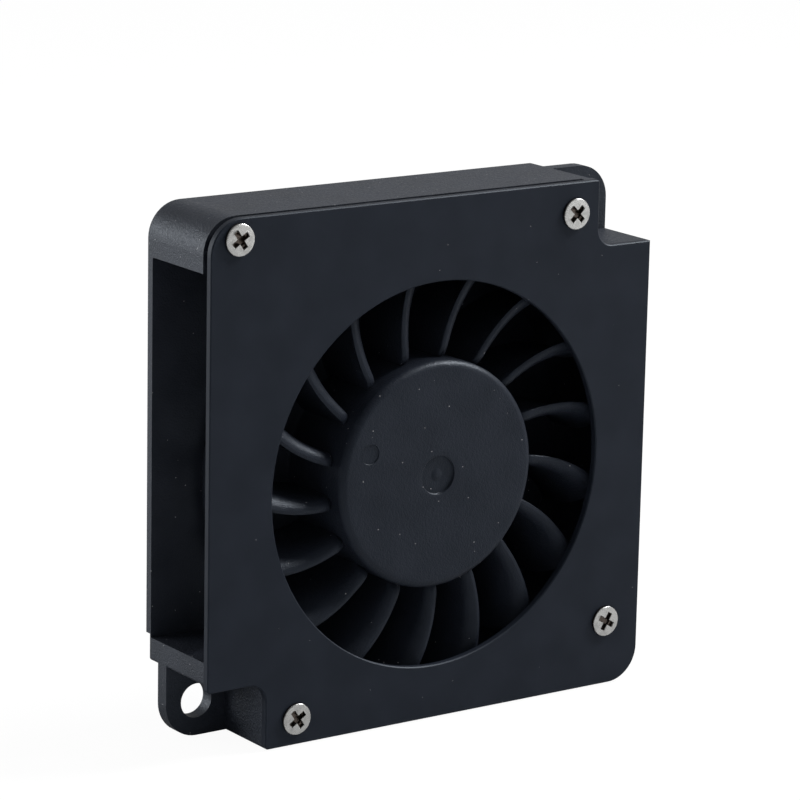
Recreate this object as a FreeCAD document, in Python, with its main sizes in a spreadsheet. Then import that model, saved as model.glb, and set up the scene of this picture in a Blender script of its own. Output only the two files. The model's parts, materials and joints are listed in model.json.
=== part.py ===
import FreeCAD, Part
import math
import os
import re

import Sketcher

Vector = FreeCAD.Vector

# A flat centrifugal blower. The case opens on its left side (the outlet) and on its front (the inlet).
# Every piece is drawn in the frame of the case: across from the outlet side, depth back from the
# front face of the cover, up from the base. Turning pieces are drawn about the rotor axis instead,
# with the same depths. The finished part stands on its base with its origin under its middle.

# Driving sizes in millimetres and degrees
SIZES = {
    # Outline of the case and of its cover
    "case_width": 75.0,
    "case_height": 75.7,
    "case_depth": 16.5,
    "corner_round": 5.0,
    "notch_width": 9.6,
    "notch_height": 9.7,
    "notch_round": 2.6,
    "small_round": 0.5,
    "case_edge_round": 0.4,
    "cover_thickness": 1.0,
    "cover_bevel": 0.15,
    "cover_gap": 0.02,
    "rear_plate": 1.5,
    "groove_width": 1.0,
    "groove_depth": 0.7,
    "groove_end": 1.9,
    "under_step": 0.9,
    "plate_rise": 0.5,
    "plate_lap": 0.2,
    # Air path
    "axis_shift": 0.7,
    "axis_drop": 2.1,
    "side_wall": 1.5,
    "floor_wall": 2.4,
    "scroll_step": 2.2,
    "throat": 3.7,
    "inlet_lap": 2.55,
    "outlet_floor": 14.0,
    "roof_wall": 7.5,
    "tongue_round": 1.2,
    # Fixing ears
    "ear_inset": 3.5,
    "ear_thickness": 2.2,
    "ear_root": 2.0,
    "ear_round": 5.0,
    "ear_hole": 5.0,
    "ear_hole_across": 4.95,
    "ear_hole_up": 5.1,
    # Cover screws, counted from the top left corner with the clock
    "screw_1_side": 4.4,
    "screw_1_end": 2.9,
    "screw_2_side": 13.85,
    "screw_2_end": 4.5,
    "screw_3_side": 6.2,
    "screw_3_end": 9.65,
    "screw_4_side": 14.6,
    "screw_4_end": 3.8,
    "screw_head": 4.5,
    "screw_rise": 0.5,
    "screw_bevel": 0.1,
    "screw_shank": 2.6,
    "screw_length": 8.4,
    "screw_gap": 0.15,
    "screw_1_turn": 33.0,
    "screw_2_turn": 44.0,
    "screw_3_turn": 60.0,
    "screw_4_turn": 34.0,
    "cross_width": 0.75,
    "cross_length": 2.4,
    "cross_depth": 0.9,
    # Impeller
    "hub_radius": 16.5,
    "hub_front": 0.5,
    "hub_face": 1.2,
    "hub_wall": 1.25,
    "hub_round": 1.6,
    "hub_dimple": 3.1,
    "dimple_depth": 0.4,
    "stub_radius": 0.85,
    "stub_rise": 0.15,
    "mark_radius": 1.5,
    "mark_depth": 0.1,
    "mark_across": 11.45,
    "mark_up": 4.4,
    "blade_count": 17,
    "blade_inset": 1.65,
    "blade_thickness": 1.7,
    "blade_bevel": 0.4,
    "blade_phase": 83.85,
    "blade_mid_sweep": 3.4,
    "blade_tip_sweep": 9.6,
    "blade_mid_lean": 3.0,
    "blade_tip_lean": 5.6,
    "blade_curl_depth": 3.0,
    "blade_curl": 0.65,
    "disc_gap": 0.7,
    "disc_thickness": 0.9,
    # Rotor metalwork
    "seat_gap": 0.02,
    "yoke_wall": 0.8,
    "yoke_bevel": 0.5,
    "yoke_gap": 1.2,
    "magnet_wall": 1.6,
    "magnet_inset": 1.9,
    "magnet_gap": 0.4,
    "bush_radius": 3.0,
    "bush_length": 2.5,
    "shaft_radius": 1.5,
    "shaft_inset": 0.2,
    "shaft_tail": 0.26,
    "shaft_bevel": 0.2,
    # Bearings
    "bearing_radius": 3.5,
    "bearing_width": 3.0,
    "bearing_inset": 3.1,
    "bearing_rise": 4.4,
    "ball_radius": 0.6,
    "ball_circle": 2.5,
    "ball_count": 7,
    "race_gap": 0.03,
    "race_shoulder": 0.38,
    "shield_thickness": 0.12,
    "shield_inset": 0.1,
    "shield_gap": 0.08,
    "tube_wall": 0.8,
    "tube_lip": 0.2,
    "tube_shoulder": 0.6,
    # Stator
    "air_gap": 0.3,
    "core_inset": 3.5,
    "core_gap": 2.6,
    "core_ring": 1.9,
    "pole_count": 4,
    "pole_width": 3.2,
    "shoe_thickness": 1.3,
    "shoe_angle": 38.0,
    "insulator_thickness": 0.7,
    "insulator_margin": 0.4,
    "flange_thickness": 0.8,
    "flange_height": 0.9,
    "flange_width": 8.4,
    "coil_inner_gap": 0.26,
    "coil_outer_gap": 0.41,
    "coil_build": 1.1,
    "coil_round": 1.0,
    "pin_radius": 0.3,
    "pin_circle": 7.1,
    "pin_tail": 0.3,
    "lug_width": 1.6,
    # Circuit board and its parts
    "board_radius": 13.2,
    "board_thickness": 1.0,
    "board_gap": 0.7,
    "board_flat": 11.6,
    "pin_hole_gap": 0.1,
    "hall_turn": 135.0,
    "hall_circle": 12.0,
    "hall_length": 1.6,
    "hall_width": 3.0,
    "hall_height": 1.1,
    "driver_turn": 315.0,
    "driver_circle": 10.2,
    "driver_length": 3.0,
    "driver_width": 4.4,
    "driver_height": 1.1,
    "capacitor_turn": 45.0,
    "capacitor_circle": 10.6,
    "capacitor_length": 1.25,
    "capacitor_width": 2.0,
    "capacitor_height": 0.9,
    "resistor_turn": 215.0,
    "resistor_circle": 11.9,
    "resistor_length": 0.8,
    "resistor_width": 1.6,
    "resistor_height": 0.45,
    # Closing pieces
    "spring_thickness": 0.2,
    "spring_radius": 2.05,
    "washer_thickness": 0.25,
    "clip_thickness": 0.35,
    "clip_radius": 2.4,
    "clip_groove": 0.25,
    "clip_mouth": 60.0,
    "cap_radius": 5.2,
    "cap_thickness": 0.7,
    "cap_inset": 0.1,
    "cap_bevel": 0.25,
    "cap_wall": 0.6,
    "cap_spigot": 0.8,
    "boss_radius": 6.2,
    "lead_slot": 3.4,
    "lead_depth": 1.0,
}

# Sizes that follow from the driving ones
DERIVED = {
    "plate_front": "case_depth - rear_plate",
    "case_front": "cover_thickness + cover_gap",
    "notch_left": "case_width - notch_width",
    "notch_base": "case_height - notch_height",
    "ear_depth": "case_depth - ear_inset - ear_thickness",
    "axis_across": "case_width / 2 + axis_shift",
    "axis_up": "case_height / 2 - axis_drop",
    "room_beside": "case_width - axis_across - scroll_step / 2 - side_wall",
    "room_below": "axis_up + scroll_step / 2 - floor_wall",
    "scroll_radius": "min(room_beside; room_below)",
    "outlet_roof": "case_height - roof_wall",
    "impeller_radius": "scroll_radius - throat",
    "inlet_radius": "impeller_radius - inlet_lap",
    "blade_front": "hub_front + blade_inset",
    "blade_mid_radius": "(hub_radius + impeller_radius) / 2",
    "disc_back": "plate_front - disc_gap",
    "disc_front": "disc_back - disc_thickness",
    "hub_inner": "hub_radius - hub_wall",
    "yoke_front": "hub_front + hub_face",
    "yoke_radius": "hub_inner - seat_gap",
    "yoke_back": "board_front - yoke_gap",
    "magnet_radius": "yoke_radius - yoke_wall - seat_gap",
    "magnet_inner": "magnet_radius - magnet_wall",
    "magnet_front": "yoke_front + magnet_inset",
    "magnet_back": "board_front - hall_height - magnet_gap",
    "bush_back": "yoke_front + bush_length",
    "shaft_front": "yoke_front + shaft_inset",
    "shaft_end": "clip_back + shaft_tail",
    "front_bearing": "yoke_front + bearing_inset",
    "front_bearing_back": "front_bearing + bearing_width",
    "rear_bearing": "plate_front - bearing_rise",
    "rear_bearing_back": "rear_bearing + bearing_width",
    "tube_inner": "bearing_radius + seat_gap",
    "tube_radius": "tube_inner + tube_wall",
    "tube_front": "front_bearing - tube_lip",
    "tube_back": "case_depth - cap_inset - cap_thickness - seat_gap",
    "core_radius": "magnet_inner - air_gap",
    "core_front": "yoke_front + core_inset",
    "core_back": "board_front - core_gap",
    "core_inner": "tube_radius + seat_gap",
    "core_hub": "core_inner + core_ring",
    "coil_start": "core_hub + insulator_margin + coil_inner_gap",
    "coil_end": "core_radius - shoe_thickness - flange_thickness - coil_outer_gap",
    "insulator_front": "core_front - insulator_thickness",
    "insulator_back": "core_back + insulator_thickness",
    "board_back": "plate_front - board_gap",
    "board_front": "board_back - board_thickness",
    "clip_front": "rear_bearing_back + washer_thickness + 2 * seat_gap",
    "clip_back": "clip_front + clip_thickness",
    "screw_hole": "screw_shank / 2 + screw_gap",
}

SCREWS = [
    ("screw_1_side", "case_height - screw_1_end"),
    ("case_width - screw_2_side", "case_height - screw_2_end"),
    ("case_width - screw_3_side", "screw_3_end"),
    ("screw_4_side", "screw_4_end"),
]

# Parts on the board, the words before their sizes in the sheet, and how far each is turned on
BOARD_PARTS = {
    "hall_sensor": ("hall", "0"),
    "driver_chip": ("driver", "0"),
    "capacitor_1": ("capacitor", "0"),
    "capacitor_2": ("capacitor", "180"),
    "resistor_1": ("resistor", "0"),
}

# How far a cut runs past the face that it opens
OVERCUT = "1"
# The screw heads stand out in front of the cover, and the frame is in the middle of the whole depth
FRAME_DEPTH = "(screw_rise - case_depth) / 2"
ON_AXIS = "on_axis"
IN_CASE = "in_case"

doc = FreeCAD.newDocument("blower")
sheet = doc.addObject("Spreadsheet::Sheet", "Sizes")
made = []


def fill_sheet():
    """Writes each driving size into a row of the sheet, under its own name."""
    for row, (name, value) in enumerate(SIZES.items(), start=1):
        sheet.set(f"A{row}", name)
        sheet.set(f"B{row}", str(value))
        sheet.setAlias(f"B{row}", name)
    doc.recompute()


def formula(text):
    """Turns a formula in plain names into one that reads the sheet."""
    def swap(match):
        word = match.group(0)
        if word in DERIVED:
            return "(" + formula(DERIVED[word]) + ")"
        return "Sizes." + word if word in SIZES else word
    return re.sub(r"[A-Za-z_]\w*", swap, text)


def value(text):
    """The number that a formula has now."""
    return float(sheet.evalExpression(formula(text)))


def new_body(name, frame=IN_CASE, turn=None):
    """A body whose frame is the corner of the case, or the rotor axis, turned about it if asked."""
    body = doc.addObject("PartDesign::Body", name)
    body.Label = name
    across, up = ("axis_across", "axis_up") if frame == ON_AXIS else ("0", "0")
    if turn:
        body.Placement.Rotation = FreeCAD.Rotation(Vector(0, -1, 0), value(turn))
        body.setExpression("Placement.Rotation.Angle", formula(turn))
    body.setExpression("Placement.Base.x", formula(f"{across} - case_width / 2"))
    body.setExpression("Placement.Base.y", formula(FRAME_DEPTH))
    body.setExpression("Placement.Base.z", formula(up))
    return body


def new_sketch(body, name, plane="XZ_Plane", away="0"):
    """A sketch on one of the body's own planes. On XZ_Plane, away is a depth."""
    sketch = body.newObject("Sketcher::SketchObject", name)
    support = next(item for item in body.Origin.OriginFeatures if item.Role == plane)
    sketch.AttachmentSupport = (support, [""])
    sketch.MapMode = "FlatFace"
    sign = "-" if plane == "XZ_Plane" else ""
    sketch.setExpression("AttachmentOffset.Base.z", formula(f"{sign}({away})"))
    return sketch


def pin_down(sketch, geometry, end, across, up):
    """Holds a point of the sketch at two formulas."""
    for kind, text, axis in (("DistanceX", across, -2), ("DistanceY", up, -1)):
        if text == "0":
            sketch.addConstraint(Sketcher.Constraint("PointOnObject", geometry, end, axis))
            continue
        place = sketch.addConstraint(Sketcher.Constraint(kind, -1, 1, geometry, end, value(text)))
        sketch.setExpression(f"Constraints[{place}]", formula(text))


def set_size(sketch, kind, geometry, text):
    """Gives a length or a radius of one piece of geometry a formula."""
    place = sketch.addConstraint(Sketcher.Constraint(kind, geometry, value(text)))
    sketch.setExpression(f"Constraints[{place}]", formula(text))


def circle(sketch, across, up, radius):
    """A circle with its middle and radius bound."""
    ring = sketch.addGeometry(Part.Circle(Vector(value(across), value(up), 0), Vector(0, 0, 1), value(radius)))
    pin_down(sketch, ring, 3, across, up)
    set_size(sketch, "Radius", ring, radius)


def add_arc(sketch, start, middle, end):
    """An arc through three points: its number, and which of its ends are the start and the end."""
    centre = Part.Arc(start, middle, end).toShape().Curve.Center
    with_clock = (middle - start).cross(end - middle).z < 0
    first, last = (end, start) if with_clock else (start, end)
    angles = [math.atan2(spot.y - centre.y, spot.x - centre.x) for spot in (first, last)]
    ring = Part.Circle(centre, Vector(0, 0, 1), (start - centre).Length)
    run = sketch.addGeometry(Part.ArcOfCircle(ring, angles[0], angles[1]))
    return (run, 2, 1) if with_clock else (run, 1, 2)


def outline(sketch, corners):
    """A closed outline through its corners.

    A corner is (across, up), or (across, up, radius) where it is rounded. A corner
    (across, up, "via", across, up) is reached from the one before by an arc through the second point.
    """
    spots = [Vector(value(corner[0]), value(corner[1]), 0) for corner in corners]
    count = len(corners)
    rounded = [len(corner) == 3 for corner in corners]

    def trimmed(index, toward):
        """Where the straight run ends short of a rounded corner."""
        if not rounded[index]:
            return spots[index]
        back = (spots[index - 1] - spots[index]).normalize()
        ahead = (spots[(index + 1) % count] - spots[index]).normalize()
        half_angle = back.getAngle(ahead) / 2
        reach = value(corners[index][2]) / math.tan(half_angle)
        return spots[index] + (back if toward < 0 else ahead) * reach

    runs = []
    for index in range(count):
        nearest = (index + 1) % count
        start = trimmed(index, 1)
        end = trimmed(nearest, -1)
        if len(corners[nearest]) == 5:
            middle = Vector(value(corners[nearest][3]), value(corners[nearest][4]), 0)
            run = add_arc(sketch, start, middle, end)
            guide = sketch.addGeometry(Part.Point(middle), True)
            pin_down(sketch, guide, 1, corners[nearest][3], corners[nearest][4])
            sketch.addConstraint(Sketcher.Constraint("PointOnObject", guide, 1, run[0]))
            runs.append(run)
        else:
            run = sketch.addGeometry(Part.LineSegment(start, end))
            runs.append((run, 1, 2))
    for index in range(count):
        before, after = runs[index - 1], runs[index]
        if not rounded[index]:
            sketch.addConstraint(Sketcher.Constraint("Coincident", before[0], before[2], after[0], after[1]))
            pin_down(sketch, after[0], after[1], corners[index][0], corners[index][1])
            continue
        guide = sketch.addGeometry(Part.Point(spots[index]), True)
        pin_down(sketch, guide, 1, corners[index][0], corners[index][1])
        sketch.addConstraint(Sketcher.Constraint("PointOnObject", guide, 1, before[0]))
        sketch.addConstraint(Sketcher.Constraint("PointOnObject", guide, 1, after[0]))
        start, end = trimmed(index, -1), trimmed(index, 1)
        back = (spots[index - 1] - spots[index]).normalize()
        ahead = (spots[(index + 1) % count] - spots[index]).normalize()
        radius = value(corners[index][2])
        middle_way = (back + ahead).normalize()
        centre = spots[index] + middle_way * (radius / math.sin(back.getAngle(ahead) / 2))
        nose, first, last = add_arc(sketch, start, centre - middle_way * radius, end)
        sketch.addConstraint(Sketcher.Constraint("Tangent", before[0], before[2], nose, first))
        sketch.addConstraint(Sketcher.Constraint("Tangent", after[0], after[1], nose, last))
        set_size(sketch, "Radius", nose, corners[index][2])


def add_pad(body, sketch, length, toward_back=True):
    """Grows a sketch by a length, to the back of the blower unless told otherwise."""
    pad = body.newObject("PartDesign::Pad", "pad")
    pad.Profile = sketch
    pad.setExpression("Length", formula(length))
    pad.Reversed = toward_back
    doc.recompute()
    return pad


def add_pocket(body, sketch, length, toward_back=True):
    """Cuts a sketch out by a length, and stops if nothing was cut."""
    before = body.Shape.Volume
    pocket = body.newObject("PartDesign::Pocket", "pocket")
    pocket.Profile = sketch
    pocket.setExpression("Length", formula(length))
    pocket.Reversed = not toward_back
    doc.recompute()
    if body.Shape.Volume >= before:
        raise RuntimeError(f"{body.Label}: a pocket cuts nothing")
    return pocket


def add_turned(body, corners, groove=False):
    """Turns a profile about the axis: its corners are radii and depths."""
    before = body.Shape.Volume if groove else 0.0
    sketch = new_sketch(body, "profile", "XY_Plane")
    outline(sketch, corners)
    feature = body.newObject("PartDesign::Groove" if groove else "PartDesign::Revolution", "turned")
    feature.Profile = sketch
    feature.ReferenceAxis = (sketch, ["V_Axis"])
    feature.Angle = 360
    doc.recompute()
    if groove and body.Shape.Volume >= before:
        raise RuntimeError(f"{body.Label}: a groove cuts nothing")
    return feature


def add_polar(body, originals, count):
    """Repeats one or more features about the rotor axis."""
    pattern = body.newObject("PartDesign::PolarPattern", "pattern")
    pattern.Originals = originals
    pattern.Axis = (originals[0].Profile[0], ["N_Axis"])
    pattern.Angle = 360
    pattern.setExpression("Occurrences", formula(count))
    body.Tip = pattern
    doc.recompute()
    return pattern


def edge_names(shape, wanted):
    """Names of the edges that the test picks."""
    return [f"Edge{place}" for place, edge in enumerate(shape.Edges, start=1) if wanted(edge)]


def lies_at(depth):
    """Picks the edges that lie wholly at one depth."""
    where = value(depth)
    return lambda edge: all(abs(limit - where) < 1e-4 for limit in (edge.BoundBox.YMin, edge.BoundBox.YMax))


def add_fillet(body, radius, wanted, kind="PartDesign::Fillet"):
    """Rounds or bevels the picked edges of the body as it stands."""
    base = body.Tip
    names = edge_names(base.Shape, wanted)
    if not names:
        raise RuntimeError(f"{body.Label}: no edge to round")
    fillet = body.newObject(kind, "edges")
    fillet.Base = (base, names)
    fillet.setExpression("Size" if kind.endswith("Chamfer") else "Radius", formula(radius))
    doc.recompute()
    return fillet


def keep(node):
    """Marks a finished object as a piece of the blower."""
    made.append(node)
    return node


def tube_profile(inner, outer, front, back):
    """Four corners of a ring's section."""
    return [(inner, front), (outer, front), (outer, back), (inner, back)]


# Case, cover and screws
def plate_outline(sketch, under="0"):
    """The outline that case and cover share: a square, two rounded corners and two notches."""
    outline(sketch, [
        ("notch_width", "0", "small_round"),
        ("case_width", "0", "corner_round"),
        ("case_width", "notch_base"),
        ("notch_left", "notch_base", "notch_round"),
        ("notch_left", "case_height", "small_round"),
        ("0", "case_height", "corner_round"),
        ("0", f"notch_height + {under}", "small_round"),
        ("notch_width", f"notch_height + {under}", "notch_round"),
    ])


def rim_outline(sketch):
    """The outline behind the cover, drawn in for a groove along the sides above the outlet's floor."""
    outline(sketch, [
        ("notch_width", "0", "small_round"),
        ("notch_width + groove_end", "0"),
        ("notch_width + groove_end", "groove_depth"),
        ("case_width - groove_depth", "groove_depth", "corner_round - groove_depth"),
        ("case_width - groove_depth", "notch_base - groove_end"),
        ("case_width", "notch_base - groove_end"),
        ("case_width", "notch_base"),
        ("notch_left", "notch_base", "notch_round"),
        ("notch_left", "case_height"),
        ("notch_left - groove_end", "case_height"),
        ("notch_left - groove_end", "case_height - groove_depth"),
        ("groove_depth", "case_height - groove_depth", "corner_round - groove_depth"),
        ("groove_depth", "outlet_floor"),
        ("0", "outlet_floor"),
        ("0", "notch_height + under_step", "small_round"),
        ("notch_width", "notch_height + under_step", "notch_round"),
    ])


def scroll_outline(sketch):
    """The air space: three arcs that open out around the impeller, then the outlet duct."""
    arcs = {
        "low": ("axis_across + scroll_step / 2", "axis_up - scroll_step / 2", "scroll_radius - scroll_step"),
        "right": ("axis_across + scroll_step / 2", "axis_up + scroll_step / 2", "scroll_radius"),
        "top": ("axis_across - scroll_step / 2", "axis_up + scroll_step / 2", "scroll_radius + scroll_step"),
    }

    def spot(arc, angle):
        across, up, radius = arcs[arc]
        return f"{across} + ({radius}) * cos({angle})", f"{up} + ({radius}) * sin({angle})"

    across, up, radius = arcs["top"]
    far, high = f"({across})", f"(outlet_roof - ({up}))"
    roof_angle = f"(atan2({high}; -{far}) - acos(({radius}) / hypot({far}; {high})))"
    low_across, low_up, low_radius = arcs["low"]
    tongue_across = f"{low_across} - sqrt(({low_radius})^2 - (outlet_floor - ({low_up}))^2)"
    roof = spot("top", roof_angle)
    slope = f"(({roof[1]}) - outlet_roof) / ({roof[0]})"
    outline(sketch, [
        (f"-{OVERCUT}", "outlet_floor"),
        (tongue_across, "outlet_floor"),
        (*spot("low", "270"), "via", *spot("low", "247")),
        (*spot("right", "0"), "via", *spot("right", "315")),
        (*roof, "via", *spot("top", "45")),
        (f"-{OVERCUT}", f"outlet_roof - {OVERCUT} * {slope}"),
    ])
    return value(tongue_across)


def ear_outline(sketch, right):
    """One fixing ear, at the lower left, or at the upper right if asked."""
    def place(across, up):
        if right:
            return f"case_width - ({across})", f"case_height - ({up})"
        return across, up
    outline(sketch, [
        (*place("0", "0"), "ear_round"),
        place("notch_width + ear_root", "0"),
        place("notch_width + ear_root", "notch_height + under_step + ear_root"),
        place("0", "notch_height + under_step + ear_root"),
    ])


def make_case():
    body = new_body("rear_case")
    walls = new_sketch(body, "walls", away="case_front + groove_width")
    plate_outline(walls, "under_step")
    add_pad(body, walls, "case_depth - case_front - groove_width")
    add_fillet(body, "case_edge_round", lies_at("case_depth"))
    rim = new_sketch(body, "rim", away="case_front")
    rim_outline(rim)
    add_pad(body, rim, "groove_width")
    for right in (False, True):
        ear = new_sketch(body, "ear", away="ear_depth")
        ear_outline(ear, right)
        add_pad(body, ear, "ear_thickness")
    for sign in (False, True):
        hole = new_sketch(body, "ear_bore", away="ear_depth")
        across = "case_width - ear_hole_across" if sign else "ear_hole_across"
        up = "case_height - ear_hole_up" if sign else "ear_hole_up"
        circle(hole, across, up, "ear_hole / 2")
        add_pocket(body, hole, "ear_thickness")
    scroll = new_sketch(body, "scroll", away="case_front")
    tongue = scroll_outline(scroll)
    add_pocket(body, scroll, "plate_front - case_front")

    def is_tongue(edge):
        box = edge.BoundBox
        upright = box.XLength < 1e-4 and box.ZLength < 1e-4
        return upright and abs(box.XMin - tongue) < 0.01 and abs(box.ZMin - value("outlet_floor")) < 0.01

    add_fillet(body, "tongue_round", is_tongue)
    step = new_sketch(body, "plate_end", away="plate_front + plate_lap")
    outline(step, [
        (f"-{OVERCUT}", "notch_height"),
        ("notch_width", "notch_height"),
        ("notch_width", "outlet_floor + plate_rise"),
        (f"-{OVERCUT}", "outlet_floor + plate_rise"),
    ])
    add_pocket(body, step, "rear_plate")
    for across, up in SCREWS:
        pilot = new_sketch(body, "pilot", away="case_front")
        circle(pilot, across, up, "screw_shank / 2 + seat_gap")
        add_pocket(body, pilot, "screw_length")
    boss = new_sketch(body, "board_boss", away="board_back + seat_gap")
    circle(boss, "axis_across", "axis_up", "boss_radius")
    add_pad(body, boss, "plate_front - board_back")
    seat = new_sketch(body, "tube_seat", away="board_back")
    circle(seat, "axis_across", "axis_up", "tube_radius + seat_gap")
    add_pocket(body, seat, "case_depth - board_back")
    recess = new_sketch(body, "cap_recess", away="tube_back")
    circle(recess, "axis_across", "axis_up", "cap_radius + seat_gap")
    add_pocket(body, recess, "case_depth - tube_back")
    channel = new_sketch(body, "lead_channel", away="case_depth - lead_depth")
    outline(channel, [
        ("axis_across - lead_slot / 2", f"-{OVERCUT}"),
        ("axis_across + lead_slot / 2", f"-{OVERCUT}"),
        ("axis_across + lead_slot / 2", "axis_up - board_radius + lead_slot / 2"),
        ("axis_across - lead_slot / 2", "axis_up - board_radius + lead_slot / 2"),
    ])
    add_pocket(body, channel, "lead_depth")
    window = new_sketch(body, "lead_window", away="plate_front")
    outline(window, [
        ("axis_across - lead_slot / 2", "axis_up - board_radius - lead_slot / 2"),
        ("axis_across + lead_slot / 2", "axis_up - board_radius - lead_slot / 2"),
        ("axis_across + lead_slot / 2", "axis_up - board_radius + lead_slot / 2"),
        ("axis_across - lead_slot / 2", "axis_up - board_radius + lead_slot / 2"),
    ])
    add_pocket(body, window, "rear_plate")
    return keep(body)


def make_cover():
    body = new_body("front_cover")
    plate = new_sketch(body, "plate")
    plate_outline(plate)
    add_pad(body, plate, "cover_thickness")
    inlet = new_sketch(body, "inlet")
    circle(inlet, "axis_across", "axis_up", "inlet_radius")
    add_pocket(body, inlet, "cover_thickness")
    add_fillet(body, "cover_bevel", lies_at("0"), "PartDesign::Chamfer")
    drill = new_sketch(body, "screw_holes")
    for across, up in SCREWS:
        circle(drill, across, up, "screw_hole")
    doc.recompute()
    hole = body.newObject("PartDesign::Hole", "clear_holes")
    hole.Profile = drill
    doc.recompute()
    hole.ThreadType = "None"
    hole.DepthType = "ThroughAll"
    hole.setExpression("Diameter", formula("screw_hole * 2"))
    doc.recompute()
    return keep(body)


def make_screws():
    """Four self-tapping screws with flat heads that lie on the cover and have a cross for the driver."""
    screws = []
    for number, (across, up) in enumerate(SCREWS, start=1):
        screw = new_body(f"screw_{number}", turn=f"screw_{number}_turn")
        screw.setExpression("Placement.Base.x", formula(f"{across} - case_width / 2"))
        screw.setExpression("Placement.Base.z", formula(up))
        head, shank = "screw_head / 2", "screw_shank / 2"
        add_turned(screw, [
            ("0", "-screw_rise"),
            (f"{head} - screw_bevel", "-screw_rise"),
            (head, "screw_bevel - screw_rise"),
            (head, "0"),
            (shank, "0"),
            (shank, f"screw_length - {shank}"),
            ("0", "screw_length"),
        ])
        for along, aside in (("cross_length", "cross_width"), ("cross_width", "cross_length")):
            cross = new_sketch(screw, "cross", away="-screw_rise")
            outline(cross, [
                (f"-{along} / 2", f"-{aside} / 2"),
                (f"{along} / 2", f"-{aside} / 2"),
                (f"{along} / 2", f"{aside} / 2"),
                (f"-{along} / 2", f"{aside} / 2"),
            ])
            add_pocket(screw, cross, "cross_depth")
        screws.append(screw)
    group = doc.addObject("Part::Compound", "cover_screws")
    group.Label = "cover_screws"
    group.Links = screws
    doc.recompute()
    return keep(group)


# Impeller
def blade_section(body, depth, share, inset="0"):
    """One blade's section at a depth, drawn in at its sides and tip by the inset.

    The share of the full lean is how far the section lags behind the front one.
    """
    sketch = new_sketch(body, "blade_section", away=depth)
    root = "(hub_radius - hub_wall / 2)"
    tip = f"(impeller_radius - {inset})"
    half = f"((blade_thickness / 2 - {inset}) * 180 / pi)"

    def spot(radius, sweep, lean, side):
        angle = f"(blade_phase - {sweep} - {share} * {lean} {side} {half} / {radius})"
        return f"{radius} * cos({angle})", f"{radius} * sin({angle})"

    outline(sketch, [
        spot(root, "0", "0", "+"),
        (*spot(tip, "blade_tip_sweep", "blade_tip_lean", "+"), "via",
         *spot("blade_mid_radius", "blade_mid_sweep", "blade_mid_lean", "+")),
        spot(tip, "blade_tip_sweep", "blade_tip_lean", "-"),
        (*spot(root, "0", "0", "-"), "via",
         *spot("blade_mid_radius", "blade_mid_sweep", "blade_mid_lean", "-")),
    ])
    return sketch


def make_impeller():
    """The hub cup and rear disc, and the swept blades that lean back from their front edges.

    They are one moulding in the real blower. The blades are solids of their own here, cut to the
    hub's round wall, so that the space between them stays open to whatever uses the solids.
    """
    hub = new_body("impeller_hub", ON_AXIS)
    add_turned(hub, [
        ("0", "hub_front + dimple_depth - stub_rise"),
        ("stub_radius", "hub_front + dimple_depth - stub_rise"),
        ("stub_radius", "hub_front + dimple_depth"),
        ("hub_dimple", "hub_front + dimple_depth"),
        ("hub_dimple", "hub_front"),
        ("hub_radius", "hub_front", "hub_round"),
        ("hub_radius", "disc_front"),
        ("impeller_radius", "disc_front"),
        ("impeller_radius", "disc_back"),
        ("hub_inner", "disc_back"),
        ("hub_inner", "yoke_front"),
        ("0", "yoke_front"),
    ])
    mark = new_sketch(hub, "ejector_mark", away="hub_front")
    circle(mark, "-mark_across", "mark_up", "mark_radius")
    add_pocket(hub, mark, "mark_depth")
    keep(hub)
    blades = new_body("impeller_blades", ON_AXIS)
    lip = blade_section(blades, "blade_front", "0", "blade_bevel")
    front = blade_section(blades, "blade_front + blade_bevel", "0")
    curl = blade_section(blades, "blade_front + blade_curl_depth", "blade_curl")
    back = blade_section(blades, "disc_front", "1")
    doc.recompute()
    blade = blades.newObject("PartDesign::AdditiveLoft", "blade")
    blade.Profile = front
    blade.Sections = [curl, back]
    doc.recompute()
    edge = blades.newObject("PartDesign::AdditiveLoft", "blade_edge")
    edge.Profile = front
    edge.Sections = [lip]
    edge.Ruled = True
    doc.recompute()
    add_polar(blades, [blade, edge], "blade_count")
    add_turned(blades, [
        ("0", "hub_front"),
        ("hub_radius", "hub_front"),
        ("hub_radius", "disc_back"),
        ("0", "disc_back"),
    ], groove=True)
    return keep(blades)


def make_rotor():
    yoke = new_body("rotor_yoke", ON_AXIS)
    add_turned(yoke, [
        ("bush_radius + seat_gap", "yoke_front"),
        ("yoke_radius - yoke_bevel", "yoke_front"),
        ("yoke_radius", "yoke_front + yoke_bevel"),
        ("yoke_radius", "yoke_back"),
        ("yoke_radius - yoke_wall", "yoke_back"),
        ("yoke_radius - yoke_wall", "yoke_front + yoke_wall"),
        ("bush_radius + seat_gap", "yoke_front + yoke_wall"),
    ])
    keep(yoke)
    magnet = new_body("magnet_ring", ON_AXIS)
    add_turned(magnet, tube_profile("magnet_inner", "magnet_radius", "magnet_front", "magnet_back"))
    keep(magnet)
    bush = new_body("shaft_bush", ON_AXIS)
    add_turned(bush, tube_profile("shaft_radius + seat_gap", "bush_radius", "yoke_front", "bush_back"))
    keep(bush)
    shaft = new_body("shaft", ON_AXIS)
    add_turned(shaft, [
        ("0", "shaft_front"),
        ("shaft_radius - shaft_bevel", "shaft_front"),
        ("shaft_radius", "shaft_front + shaft_bevel"),
        ("shaft_radius", "clip_front - seat_gap"),
        ("shaft_radius - clip_groove", "clip_front - seat_gap"),
        ("shaft_radius - clip_groove", "clip_back + seat_gap"),
        ("shaft_radius", "clip_back + seat_gap"),
        ("shaft_radius", "shaft_end - shaft_bevel"),
        ("shaft_radius - shaft_bevel", "shaft_end"),
        ("0", "shaft_end"),
    ])
    keep(shaft)


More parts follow.
